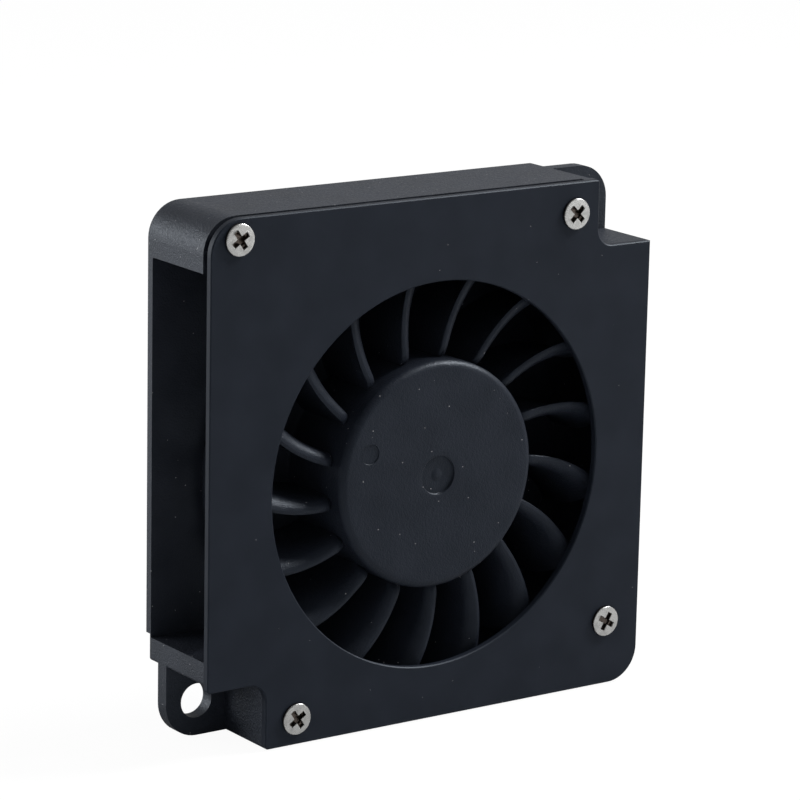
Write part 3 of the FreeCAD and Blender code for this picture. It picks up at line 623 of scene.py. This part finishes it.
def lathe(name: str, profile: Sequence[Pair], steps: int) -> Mesh:
    """A turned solid about the Y axis.

    Args:
        name: the mesh's name.
        profile: radius and depth of each ring, from the front middle outwards and back to the axis.
        steps: how many faces go round.

    Returns:
        The mesh, closed where the profile starts and ends on the axis.
    """
    shape = bmesh.new()
    angles = [TURN * i / steps for i in range(steps)]
    rows = []
    for radius, depth in profile:
        if radius == 0:
            rows.append([shape.verts.new((0, depth, 0))] * steps)
        else:
            rows.append(row_of(shape, ring_of(radius, angles), depth))
    join_rows(shape, rows)
    return close_shape(shape, bpy.data.meshes.new(name))


def corner_arc(radius: float, centre: Pair, start: float, end: float, steps: int) -> list[Pair]:
    """Points of an arc in a profile, from one angle to another in degrees, both ends among them."""
    turns = [math.radians(start + (end - start) * i / steps) for i in range(steps + 1)]
    return [(centre[0] + radius * math.cos(t), centre[1] + radius * math.sin(t)) for t in turns]


@dataclass
class Screw:
    """A self-tapping screw with a flat head and a cross for the driver, drawn about its own axis."""

    head_radius: float = 2.25 * MM
    rise: float = 0.5 * MM
    dome: float = 0.07 * MM
    rim_round: float = 0.12 * MM
    cross_reach: float = 1.4 * MM
    cross_half: float = 0.39 * MM
    cross_depth: float = 1.5 * MM
    cross_floor: float = 0.78
    cross_taper: float = 0.35
    cross_point: float = 0.12 * MM
    lip_share: float = 1.03
    lip_fall: float = 0.03 * MM
    face_rings: Pair = (1.55 * MM, 1.85 * MM)
    under_round: Pair = (0.03 * MM, 0.01 * MM)
    neck: Pair = (0.05 * MM, 0.4 * MM)
    shank_radius: float = 1.3 * MM
    root_radius: float = 1.0 * MM
    length: float = 8.4 * MM
    pitch: float = 1.0 * MM
    thread_start: float = 0.3 * MM
    thread_edge: float = 3.2
    side_steps: int = 4
    rim_steps: int = 4
    thread_steps: int = 24
    thread_rings: int = 10
    sharp_from: float = 32.0

    def _cross(self, share: float) -> list[Pair]:
        """The cross's outline, with points all round it.

        Args:
            share: how much of its arms is left, from nought to one.

        Returns:
            Its points across the axis.
        """
        half = self.cross_half * (self.cross_taper + (1 - self.cross_taper) * share)
        reach = self.cross_reach * share
        end = math.atan2(half, reach)
        points = []
        for arm in range(4):
            stops = [-math.pi / 4, -end, end, math.pi / 4]
            for start, stop in zip(stops, stops[1:]):
                for i in range(self.side_steps):
                    a = start + (stop - start) * i / self.side_steps
                    radius = 1 / max(math.cos(a) / reach, abs(math.sin(a)) / half)
                    points += ring_of(radius, [a + arm * math.pi / 2])
        return points

    def _crown(self, radius: float) -> float:
        """The depth of the head's slightly domed face at a radius."""
        return -self.rise + self.dome * (radius / self.head_radius) ** 2

    def _outline(self) -> list[Pair]:
        """The head round its cross.

        Returns:
            Radius and depth, from its face over its rim to the neck.
        """
        flat = self.head_radius - self.rim_round
        edge = self._crown(flat)
        points = [(radius, self._crown(radius)) for radius in (*self.face_rings, flat)]
        points += corner_arc(self.rim_round, (flat, edge + self.rim_round), -90, 0, self.rim_steps)[1:]
        inset, lift = self.under_round
        points += [(self.head_radius, -lift), (self.head_radius - inset, 0), (self.shank_radius, 0)]
        return points + [(self.root_radius, depth) for depth in self.neck]

    def mesh(self) -> Mesh:
        """Draws the screw.

        Returns:
            The head with its cross, and the threaded shank.
        """
        shape = bmesh.new()
        top = self._cross(1.0)
        angles = [math.atan2(z, x) for x, z in top]
        lip = [(x * self.lip_share, z * self.lip_share) for x, z in top]
        edge = self._crown(self.cross_half)
        floor_depth = self.cross_depth - self.rise
        rows = [
            [shape.verts.new((0, floor_depth + self.cross_point, 0))] * len(top),
            row_of(shape, self._cross(self.cross_floor), floor_depth),
            row_of(shape, top, edge + self.lip_fall),
            row_of(shape, lip, edge),
        ]
        rows += [row_of(shape, ring_of(radius, angles), depth) for radius, depth in self._outline()]
        join_rows(shape, rows)
        self._thread(shape)
        mesh = close_shape(shape, bpy.data.meshes.new("screw"))
        shade(mesh, self.sharp_from)
        return mesh

    def _thread(self, shape: BMesh) -> None:
        """Adds the thread below the head, closed at both ends, with a pointed tail.

        Args:
            shape: what it is added to.
        """
        run = self.length - self.thread_start - self.shank_radius
        rings = round(run / self.pitch * self.thread_rings)
        turns = [step / self.thread_steps for step in range(self.thread_steps)]
        rows = [[shape.verts.new((0, self.thread_start, 0))] * self.thread_steps]
        for ring in range(rings + 1):
            depth = self.thread_start + run * ring / rings
            start = min(1.0, ring / self.thread_rings)
            row = []
            for turn in turns:
                phase = (depth / self.pitch - turn) % 1.0
                crest = start * max(0.0, 1 - abs(phase - 0.5) * self.thread_edge)
                radius = self.root_radius + (self.shank_radius - self.root_radius) * crest
                row += row_of(shape, ring_of(radius, [TURN * turn]), depth)
            rows.append(row)
        rows.append([shape.verts.new((0, self.length, 0))] * self.thread_steps)
        join_rows(shape, rows)


@dataclass
class Fastenings:
    """The four screws that hold the cover, each left at its own turn by the driver."""

    places: tuple[Point, ...] = (
        (-33.1, 72.8, 33.0),
        (23.65, 71.2, 44.0),
        (31.3, 9.65, 60.0),
        (-22.9, 3.8, 34.0),
    )
    # How far behind the cover's face the painted shade in each screw's cross begins.
    recess_shade_start: float = 0.12 * MM
    screw: Screw = field(default_factory=Screw)
    finish: BrightSteel = BrightSteel("screw_plating")

    def build(self) -> None:
        """Sets the screws out on the cover."""
        node = "cover_screws"
        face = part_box(node)[0].y
        seeds = bpy.data.meshes.new("screw_places")
        seeds.from_pydata([(x * MM, face + self.screw.rise, z * MM) for x, z, _ in self.places], [], [])
        turns = seeds.attributes.new("turn", "FLOAT", "POINT")
        turns.data.foreach_set("value", [-math.radians(turn) for _, _, turn in self.places])
        pattern = bpy.data.objects.new("screw_pattern", self.screw.mesh())
        # Painted shade: the steel darkens whatever lies deeper than this, inside the cross.
        finish = replace(self.finish, recess=face + self.recess_shade_start - middle(node).y)
        rule = Rule("screw_rule", {"Screw": pattern}, finish.made(middle(node)))
        turn = rule.node("GeometryNodeInputNamedAttribute", {"data_type": "FLOAT"}, {"Name": "turn"})
        mesh = rule.run(rule.set_out(rule.given("Mesh"), "Screw", turn), seeds)
        bpy.data.objects.remove(pattern)
        place_piece("screws", mesh, "housing", [node])


@dataclass
class Hub:
    """The hub cup and its rear disc, with the gate's recess and an ejector's mark on the face."""

    radius: float = 16.5 * MM
    front: float = 0.1 * MM
    rim_round: float = 1.15 * MM
    gate_radius: float = 2.8 * MM
    gate_depth: float = 0.4 * MM
    gate_round: float = 0.1 * MM
    gate_margin: float = 1.2 * MM
    stub_radius: float = 0.85 * MM
    stub_rise: float = 0.15 * MM
    stub_outline: tuple[Pair, ...] = ((0, 1), (0.55, 1), (0.8, 0.4), (1, 0), (1.15, -0.2), (1.3, 0))
    rim_margin: float = 0.8 * MM
    bore_chamfer: float = 0.2 * MM
    inner_radius: float = 15.25 * MM
    cup_front: float = 1.7 * MM
    disc_radius: float = 30.5 * MM
    disc_front: float = 13.4 * MM
    disc_back: float = 14.3 * MM
    disc_round: float = 0.25 * MM
    root_round: float = 0.6 * MM
    mark_radius: float = 1.5 * MM
    mark_depth: float = 0.16 * MM
    mark_chamfer: float = 0.064 * MM
    mark_place: Pair = (-11.7 * MM, 4.5 * MM)
    steps: int = 200
    arc_steps: int = 10
    small_steps: int = 4
    mark_steps: int = 48
    sharp_from: float = 28.0

    def mesh(self, axis: Vector, zero: float) -> Mesh:
        """The hub about the rotor's axis.

        Args:
            axis: a point of the axis.
            zero: the Y of the cover's front, which depths are counted from.

        Returns:
            The mesh, in place.
        """
        floor = self.front + self.gate_depth
        edge, small = self.rim_round, self.gate_round
        back, disc = self.disc_back, self.disc_radius - self.disc_round
        chamfer, few = self.bore_chamfer, self.small_steps
        profile = [(self.stub_radius * out, floor - self.stub_rise * up) for out, up in self.stub_outline]
        profile += [(self.gate_radius - small, floor), (self.gate_radius, floor - small)]
        profile += corner_arc(small, (self.gate_radius + small, self.front + small), 180, 270, few)
        profile += [(self.gate_radius + self.gate_margin, self.front)]
        profile += [(self.radius - edge - self.rim_margin, self.front)]
        profile += corner_arc(edge, (self.radius - edge, self.front + edge), -90, 0, self.arc_steps)
        root = (self.radius + self.root_round, self.disc_front - self.root_round)
        profile += corner_arc(self.root_round, root, 180, 90, few)
        profile += corner_arc(self.disc_round, (disc, self.disc_front + self.disc_round), -90, 0, few)
        profile += corner_arc(self.disc_round, (disc, back - self.disc_round), 0, 90, few)
        profile += [(self.inner_radius + chamfer, back), (self.inner_radius, back - chamfer)]
        profile += [(self.inner_radius, self.cup_front), (0, self.cup_front)]
        across, up = self.mark_place
        mesh = self._cut(lathe("hub", profile, self.steps), (across, self.front, up))
        mesh.transform(Matrix.Translation((axis.x, zero, axis.z)))
        shade(mesh, self.sharp_from)
        return mesh

    def _cut(self, mesh: Mesh, place: Point) -> Mesh:
        """Sinks the ejector's shallow round mark into the face.

        Args:
            mesh: the hub.
            place: the mark's middle.

        Returns:
            The hub with its mark.
        """
        reach, radius, chamfer = self.mark_depth, self.mark_radius, self.mark_chamfer
        profile = [(0, -reach), (radius, -reach), (radius, reach - chamfer)]
        profile += [(radius - chamfer, reach), (0, reach)]
        plug = add_object("mark", lathe("mark", profile, self.mark_steps))
        plug.location = place
        hub = add_object("hub_blank", mesh)
        cut = hub.modifiers.new("mark", "BOOLEAN")
        cut.operation, cut.solver, cut.object = "DIFFERENCE", "EXACT", plug
        graph = bpy.context.evaluated_depsgraph_get()
        made = bpy.data.meshes.new_from_object(hub.evaluated_get(graph))
        for thing in (plug, hub):
            bpy.data.objects.remove(thing)
        return made


@dataclass
class Blade:
    """One swept blade, thick and rounded at its front edge and leaning back towards the disc."""

    root: float = 16.2 * MM
    tip: float = 30.5 * MM
    front: float = 2.15 * MM
    back: float = 13.5 * MM
    half: float = 0.85 * MM
    lead_round: float = 0.2 * MM
    trail_round: float = 1.6 * MM
    trail_share: float = 1.3
    root_dip: float = 1.4 * MM
    root_reach: float = 2.2 * MM
    phase: float = 85.6
    slope: float = -0.388
    curve: float = -0.0275
    origin: float = 17.0
    lean: float = 0.47
    lean_start: float = 16.5
    lean_power: float = 3.3
    radius_steps: int = 22
    depth_steps: int = 14
    depth_growth: float = 1.4
    round_steps: int = 7
    lead_steps: int = 3
    sharp_from: float = 40.0

    def _middle(self, radius: float, share: float) -> float:
        """The blade's middle line.

        Args:
            radius: the distance from the axis.
            share: the share of the blade's depth.

        Returns:
            Its angle in radians.
        """
        out = radius / MM - self.origin
        side = self.phase + self.slope * out + self.curve * out * out
        back = self.lean * (radius / MM - self.lean_start) * (1 - (1 - share) ** self.lean_power)
        return math.radians(side - max(back, 0.0)) - self.half / radius

    def _side(self, start: float, sign: float) -> list[Pair]:
        """One flank, from the depth where its rounding ends to the disc."""
        steps = [(i / self.depth_steps) ** self.depth_growth for i in range(self.depth_steps + 1)]
        return [(sign, start + (self.back - start) * step) for step in steps]

    def _section(self) -> list[Pair]:
        """The blade's outline across its length.

        Returns:
            Offsets and depths, from the trailing flank over the front to the leading one.
        """
        trail, lead = self.front + self.trail_round, self.front + self.lead_round
        crest = self.trail_share - 1
        rising = corner_arc(1, (0, 0), 180, 270, self.round_steps)[1:]
        falling = corner_arc(1, (0, 0), -90, 0, self.lead_steps)[:-1]
        over = [(crest + self.trail_share * x, trail + self.trail_round * y) for x, y in rising]
        over += [(crest + (1 - crest) * x, lead + self.lead_round * y) for x, y in falling]
        return self._side(trail, -1.0)[::-1] + over + self._side(lead, 1.0)

    def _dip(self, radius: float) -> float:
        """How far the front edge drops where the blade runs into the hub."""
        near = min(max((self.root + self.root_reach - radius) / self.root_reach, 0.0), 1.0)
        return self.root_dip * (1 - math.sqrt(1 - near * near))

    def mesh(self) -> Mesh:
        """Draws the blade.

        Returns:
            Its mesh about the rotor's axis, with the root inside the hub's wall.
        """
        shape = bmesh.new()
        section = self._section()
        rows = []
        for i in range(self.radius_steps + 1):
            radius = self.root + (self.tip - self.root) * i / self.radius_steps
            row = []
            for across, depth in section:
                share = min(max((depth - self.front) / (self.back - self.front), 0.0), 1.0)
                angle = self._middle(radius, share) + across * self.half / radius
                row += row_of(shape, ring_of(radius, [angle]), depth + self._dip(radius) * (1 - share))
            rows.append(row)
        join_rows(shape, rows)
        shape.faces.new(rows[0])
        shape.faces.new(list(reversed(rows[-1])))
        mesh = close_shape(shape, bpy.data.meshes.new("blade"))
        shade(mesh, self.sharp_from)
        return mesh


@dataclass
class Impeller:
    """The moulded impeller: the hub with its disc, and the ring of blades."""

    blade_count: int = 17
    hub: Hub = field(default_factory=Hub)
    blade: Blade = field(default_factory=Blade)
    finish: MouldedPlastic = MouldedPlastic(
        "impeller_plastic", (0.0065, 0.0082, 0.0125), (0.0095, 0.0115, 0.017), roughness=0.44,
        gloss=0.165, grain=0.2 * MM, depth=0.055 * MM, unevenness=0.4, dust_size=0.085 * MM,
    )

    def build(self) -> None:
        """Makes the hub and sets the blades round it."""
        axis = Vector(frame["joints"][0]["pos_m"])
        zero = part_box("front_cover")[0].y
        hub = self.hub.mesh(axis, zero)
        hub.materials.clear()
        hub.materials.append(self.finish.made(middle("impeller_hub")))
        place_piece("hub", hub, "rotor", ["impeller_hub"])
        pattern = bpy.data.objects.new("blade_pattern", self.blade.mesh())
        sizes = {"Blade": pattern, "Count": self.blade_count, "Axis": Vector((axis.x, zero, axis.z))}
        rule = Rule("blade_rule", sizes, self.finish.made(middle("impeller_blades")))
        points = rule.node("GeometryNodeMeshLine", inputs={"Count": rule.given("Count"), "Offset": (0, 0, 0)})
        number = rule.node("GeometryNodeInputIndex")
        ring = rule.set_out(points, "Blade", number * TURN / rule.given("Count"))
        inputs = {"Geometry": ring, "Translation": rule.given("Axis")}
        mesh = rule.run(rule.node("GeometryNodeTransform", inputs=inputs), bpy.data.meshes.new("blade_seed"))
        bpy.data.objects.remove(pattern)
        place_piece("blades", mesh, "rotor", ["impeller_blades"])


@dataclass
class Housing:
    """The case and its rear cap in one plastic, and the smoother cover plate."""

    case: MouldedPlastic = MouldedPlastic(
        "case_plastic", (0.008, 0.0095, 0.014), (0.013, 0.015, 0.021), roughness=0.5, gloss=0.26,
        grain=0.25 * MM, depth=0.07 * MM, unevenness=0.5, dust_size=0.08 * MM, dust_share=0.45,
    )
    # Painted shade: a darker, duller copy of the case plastic, laid on the groove behind the cover to stand
    # in for the shade there.
    groove: MouldedPlastic = MouldedPlastic(
        "groove_plastic", (0.006, 0.0072, 0.011), (0.009, 0.0105, 0.015), roughness=0.7, gloss=0.1
    )
    cover: MouldedPlastic = MouldedPlastic(
        "cover_plastic", (0.0055, 0.0072, 0.0115), (0.008, 0.01, 0.0155), roughness=0.53,
        gloss=0.155, grain=0.09 * MM, depth=0.003 * MM, dust_share=0.08,
    )
    groove_width: float = 1.03 * MM
    groove_depth: float = 0.35 * MM

    def build(self) -> None:
        """Dresses the solids of the housing."""
        dress(["rear_case", "rear_cap"], self.case)
        dress(["front_cover"], self.cover)
        self._paint_groove_shade()

    def _paint_groove_shade(self) -> None:
        """Lays the darker, duller plastic on the groove behind the cover, as painted shade."""
        case = frame["nodes"]["rear_case"]
        low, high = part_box("rear_case")
        heart = (low + high) / 2
        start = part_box("front_cover")[1].y
        end = start + self.groove_width
        places = [case.matrix_world @ corner.co for corner in case.data.vertices]
        case.data.materials.append(self.groove.made(heart))
        for face in case.data.polygons:
            corners = [places[i] for i in face.vertices]
            centre = sum(corners, Vector()) / len(corners)
            sides = (centre.x - low.x, high.x - centre.x, centre.z - low.z, high.z - centre.z)
            outward = face.normal.dot(centre - heart) > 0
            inside = all(start <= corner.y <= end for corner in corners)
            # Painted shade: the groove's outward faces take the darker plastic.
            if inside and outward and min(sides) > self.groove_depth:
                face.material_index = 1


class MotorPart(Enum):
    """The kinds of piece inside the hub: the finish of each and the nodes that have it."""

    YOKE = BrightSteel("yoke_steel", (0.42, 0.42, 0.41), (0.28, 0.28, 0.28), roughness=0.36), "rotor_yoke"
    MAGNET = (
        Lacquered("magnet_rubber", (0.035, 0.033, 0.032), (0.06, 0.055, 0.05), roughness=0.62),
        "magnet_ring",
    )
    BUSH = Brass("bush_brass"), "shaft_bush"
    TUBE = Brass("tube_brass", roughness=0.36), "bearing_tube"
    RACE = (
        BrightSteel("race_steel", roughness=0.2),
        "shaft", "front_bearing_outer_ring", "front_bearing_inner_ring", "front_bearing_balls",
        "rear_bearing_outer_ring", "rear_bearing_inner_ring", "rear_bearing_balls",
        "preload_washer", "shaft_clip", "winding_pins",
    )
    SHIELD = (
        BrightSteel("shield_steel", (0.5, 0.5, 0.49), roughness=0.34),
        "front_bearing_shields", "rear_bearing_shields",
    )
    CORE = BrightSteel("core_steel", (0.34, 0.34, 0.35), (0.2, 0.2, 0.21), roughness=0.42), "stator_core"
    BOBBIN = (
        Lacquered("bobbin_plastic", (0.62, 0.6, 0.53), (0.72, 0.7, 0.62), roughness=0.5),
        "front_insulator", "rear_insulator", "thrust_washer",
    )
    BOARD = (
        Lacquered(
            "board_laminate", (0.012, 0.1, 0.035), (0.02, 0.15, 0.055), roughness=0.38,
            weave=0.4 * MM, coat=0.3,
        ),
        "circuit_board",
    )
    CHIP = (
        Lacquered("chip_plastic", (0.018, 0.018, 0.019), (0.03, 0.03, 0.03), roughness=0.48),
        "hall_sensor", "driver_chip", "resistor_1",
    )
    CERAMIC = (
        Lacquered("capacitor_ceramic", (0.42, 0.27, 0.14), (0.52, 0.36, 0.2), roughness=0.35),
        "capacitor_1", "capacitor_2",
    )


@dataclass
class Motor:
    """The brushless motor, its bearings and its circuit board."""

    parts: tuple[MotorPart, ...] = tuple(MotorPart)

    def build(self) -> None:
        """Dresses the motor's pieces."""
        for part in self.parts:
            finish, *nodes = part.value
            dress(nodes, finish)


@dataclass
class Windings:
    """The four coils, with layers of enamelled wire laid turn by turn round each tooth."""

    nodes: tuple[str, ...] = ("coil_1", "coil_2", "coil_3", "coil_4")
    wire: float = 0.24 * MM
    layers: int = 5
    layer_step: float = 0.21 * MM
    stagger: float = 0.5
    corner_radius: float = 1.0 * MM
    corner_steps: int = 5
    wire_sides: int = 6
    sharp_from: float = 75.0
    finish: Lacquered = Lacquered(
        "coil_wire", (0.42, 0.13, 0.035), (0.56, 0.2, 0.06), roughness=0.25, coat=0.6
    )

    def build(self) -> None:
        """Winds each coil in the room of its solid."""
        axis = Vector(frame["joints"][0]["pos_m"])
        for node in self.nodes:
            low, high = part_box(node)
            size, place = high - low, middle(node)
            upright = abs(place.z - axis.z) > abs(place.x - axis.x)
            length, width = (size.z, size.x) if upright else (size.x, size.z)
            mesh = self._wound(node, place, (length, width, size.y), upright)
            place_piece(f"{node}_wire", mesh, "housing", [node])

    def _wound(self, node: str, place: Vector, size: Point, upright: bool) -> Mesh:
        """One coil.

        Args:
            node: the solid that it stands for.
            place: its middle.
            size: its length along the tooth, and its width and depth across it.
            upright: whether the tooth points up or down, not to a side.

        Returns:
            The turns of wire, in place.
        """
        length, width, depth = (side - self.wire for side in size)
        turns = int(length / self.wire)
        sizes = {
            "Turns": turns,
            "Layers": self.layers,
            "Pitch": length / (turns - self.stagger),
            "Layer Step": self.layer_step,
            "Wire Radius": self.wire / 2,
            "Length": length,
            "Width": width,
            "Depth": depth,
            "Corner": self.corner_radius,
            "Turned": -math.pi / 2 if upright else 0.0,
            "Place": place,
        }
        rule = Rule(f"{node}_rule", sizes, self.finish.made(place))
        given = rule.given
        inputs = {"Width": given("Width"), "Height": given("Depth")}
        flat = rule.node("GeometryNodeCurvePrimitiveQuadrilateral", inputs=inputs)
        inputs = {"Curve": flat, "Count": self.corner_steps, "Radius": given("Corner"), "Limit Radius": True}
        loop = rule.node("GeometryNodeFilletCurve", {"mode": "POLY"}, inputs)
        number = rule.node("GeometryNodeInputIndex")
        layer = (number / given("Turns")).floor()
        turn = number % given("Turns") + layer % 2 * self.stagger
        along = turn * given("Pitch") - given("Length") * 0.5
        drawn_in = layer * given("Layer Step") * 2
        shares = {"X": 1 - drawn_in / given("Width"), "Y": 1 - drawn_in / given("Depth"), "Z": 1.0}
        inputs = {"Count": given("Turns") * given("Layers"), "Offset": (0, 0, 0)}
        line = rule.node("GeometryNodeMeshLine", inputs=inputs)
        spot = rule.node("ShaderNodeCombineXYZ", inputs={"X": along})
        points = rule.node("GeometryNodeSetPosition", inputs={"Geometry": line, "Position": spot})
        inputs = {
            "Points": points,
            "Instance": loop,
            "Rotation": (0, -math.pi / 2, 0),
            "Scale": rule.node("ShaderNodeCombineXYZ", inputs=shares),
        }
        rings = rule.node("GeometryNodeInstanceOnPoints", inputs=inputs)
        paths = rule.node("GeometryNodeRealizeInstances", inputs={0: rings})
        inputs = {"Resolution": self.wire_sides, "Radius": given("Wire Radius")}
        section = rule.node("GeometryNodeCurvePrimitiveCircle", inputs=inputs)
        wires = rule.node("GeometryNodeCurveToMesh", inputs={"Curve": paths, "Profile Curve": section})
        spin = rule.node("ShaderNodeCombineXYZ", inputs={"Y": given("Turned")})
        inputs = {"Geometry": wires, "Rotation": spin, "Translation": given("Place")}
        moved = rule.node("GeometryNodeTransform", inputs=inputs)
        mesh = rule.run(moved, bpy.data.meshes.new(f"{node}_seed"))
        shape = bmesh.new()
        shape.from_mesh(mesh)
        close_shape(shape, mesh)
        shade(mesh, self.sharp_from)
        return mesh


# Studio


@dataclass
class Lamp:
    """A soft box that faces the blower."""

    name: str
    place: Point
    size: Pair
    power: float
    colour: Colour = (1.0, 1.0, 1.0)

    def build(self, aim: Vector) -> None:
        """Hangs the lamp.

        Args:
            aim: the point that it faces.
        """
        light = bpy.data.lights.new(self.name, "AREA")
        light.shape = "RECTANGLE"
        light.size, light.size_y = self.size
        light.energy, light.color = self.power, self.colour
        lamp = add_object(self.name, light)
        lamp.location = self.place
        lamp.rotation_euler = (aim - Vector(self.place)).to_track_quat("-Z", "Y").to_euler()


@dataclass
class Studio:
    """A white sweep, soft boxes and the camera."""

    yaw: float = 35.1374
    pitch: float = 13.4201
    roll: float = 1.1804
    camera_place: Point = (-0.3051632, -0.4327262, 0.1714426)
    lens: float = 172.4362
    floor_reach: float = 6.0
    floor_drop: float = 0.2 * MM
    floor_colour: Colour = (0.75, 0.75, 0.75)
    floor_glow: float = 0.95
    floor_dark: float = 0.6
    room_level: float = 0.64
    back_level: float = 0.5
    dark_side: float = 0.12
    back_edge: Pair = (-0.1, 0.6)
    aim: Point = (0, 0, 0.0375)
    lamps: tuple[Lamp, ...] = (
        Lamp("key_light", (0.525, -0.13, 0.535), (0.22, 0.2), 11.0),
        Lamp("left_light", (-0.58, 0.5, 0.2), (0.5, 0.4), 6.1),
        Lamp("front_light", (0.5, -0.62, 0.1), (0.45, 0.16), 0.28),
    )

    def build(self) -> None:
        """Sets up the camera, the sweep, the room and the lamps."""
        self._camera()
        self._floor()
        self._room()
        for lamp in self.lamps:
            lamp.build(Vector(self.aim))
        bpy.context.scene.view_settings.view_transform = "Standard"

    def _axes(self) -> tuple[Vector, Vector, Vector]:
        """The camera's own directions.

        Returns:
            Right, up and forward.
        """
        yaw, pitch, roll = (math.radians(a) for a in (self.yaw, self.pitch, self.roll))
        level = math.cos(pitch)
        forward = Vector((math.sin(yaw) * level, math.cos(yaw) * level, -math.sin(pitch)))
        right = Vector((math.cos(yaw), -math.sin(yaw), 0))
        up = right.cross(forward)
        upright, tilt = math.cos(roll), math.sin(roll)
        return upright * right + tilt * up, upright * up - tilt * right, forward

    def _camera(self) -> None:
        """The camera at the picture's viewpoint."""
        lens = bpy.data.cameras.new("camera")
        lens.lens = self.lens
        camera = add_object("camera", lens)
        right, up, forward = self._axes()
        turned = Matrix((right, up, -forward)).transposed()
        camera.matrix_world = Matrix.Translation(self.camera_place) @ turned.to_4x4()
        bpy.context.scene.camera = camera

    @staticmethod
    def _seen(board: Board) -> tuple[Signal, Signal]:
        """Which rays see the background.

        Args:
            board: the tree that asks.

        Returns:
            The camera's own rays, and those that gloss or glass send on.
        """
        path = board.node("ShaderNodeLightPath").socket.node
        names = ("Is Camera Ray", "Is Glossy Ray", "Is Transmission Ray")
        camera, glossy, through = (Signal(board, path.outputs[name]) for name in names)
        return camera, glossy.most(through)

    def _floor(self) -> None:
        """The pale sweep that keeps the blower's shadow."""
        mesh = bpy.data.meshes.new("floor")
        reach = self.floor_reach
        sides = ((-reach, -reach), (reach, -reach), (reach, reach), (-reach, reach))
        mesh.from_pydata([(x, y, -self.floor_drop) for x, y in sides], [], [(0, 1, 2, 3)])
        material = bpy.data.materials.new("sweep")
        material.use_nodes = True
        board = Board(material.node_tree)
        camera, glossy = self._seen(board)
        matt = board.node("ShaderNodeBsdfDiffuse", inputs={"Color": (*self.floor_colour, 1)})
        glow = board.node("ShaderNodeEmission")
        lit = board.node("ShaderNodeMixShader", inputs={0: camera * self.floor_glow, 1: matt, 2: glow})
        flag = board.node("ShaderNodeBsdfDiffuse", inputs={"Color": (0, 0, 0, 1)})
        mixed = board.node("ShaderNodeMixShader", inputs={0: glossy * self.floor_dark, 1: lit, 2: flag})
        board.node("ShaderNodeOutputMaterial", inputs={"Surface": mixed})
        mesh.materials.append(material)
        add_object("floor", mesh)

    def _room(self) -> None:
        """The room: white behind the blower, dim in front of it, and an even grey for soft light."""
        world = bpy.data.worlds.new("room")
        world.use_nodes = True
        bpy.context.scene.world = world
        board = Board(world.node_tree)
        camera, glossy = self._seen(board)
        way = board.node("ShaderNodeTexCoord", out="Generated")
        forward = self._axes()[2]
        settings = {"operation": "DOT_PRODUCT"}
        facing = board.node("ShaderNodeVectorMath", settings, {0: way, 1: forward}, out="Value")
        behind = facing.spread(*self.back_edge) * (self.back_level - self.dark_side) + self.dark_side
        white = camera.most(glossy * behind)
        soft = (1 - camera.most(glossy)) * self.room_level
        back = board.node("ShaderNodeBackground", inputs={"Color": (1, 1, 1, 1), "Strength": white + soft})
        board.node("ShaderNodeOutputWorld", inputs={"Surface": back})


def main() -> None:
    logging.basicConfig(level=logging.INFO, format="%(name)s: %(message)s")
    for assembly in (Housing(), Fastenings(), Impeller(), Motor(), Windings(), Studio()):
        LOG.info("building %s", type(assembly).__name__)
        assembly.build()


if __name__ == "__main__":
    main()
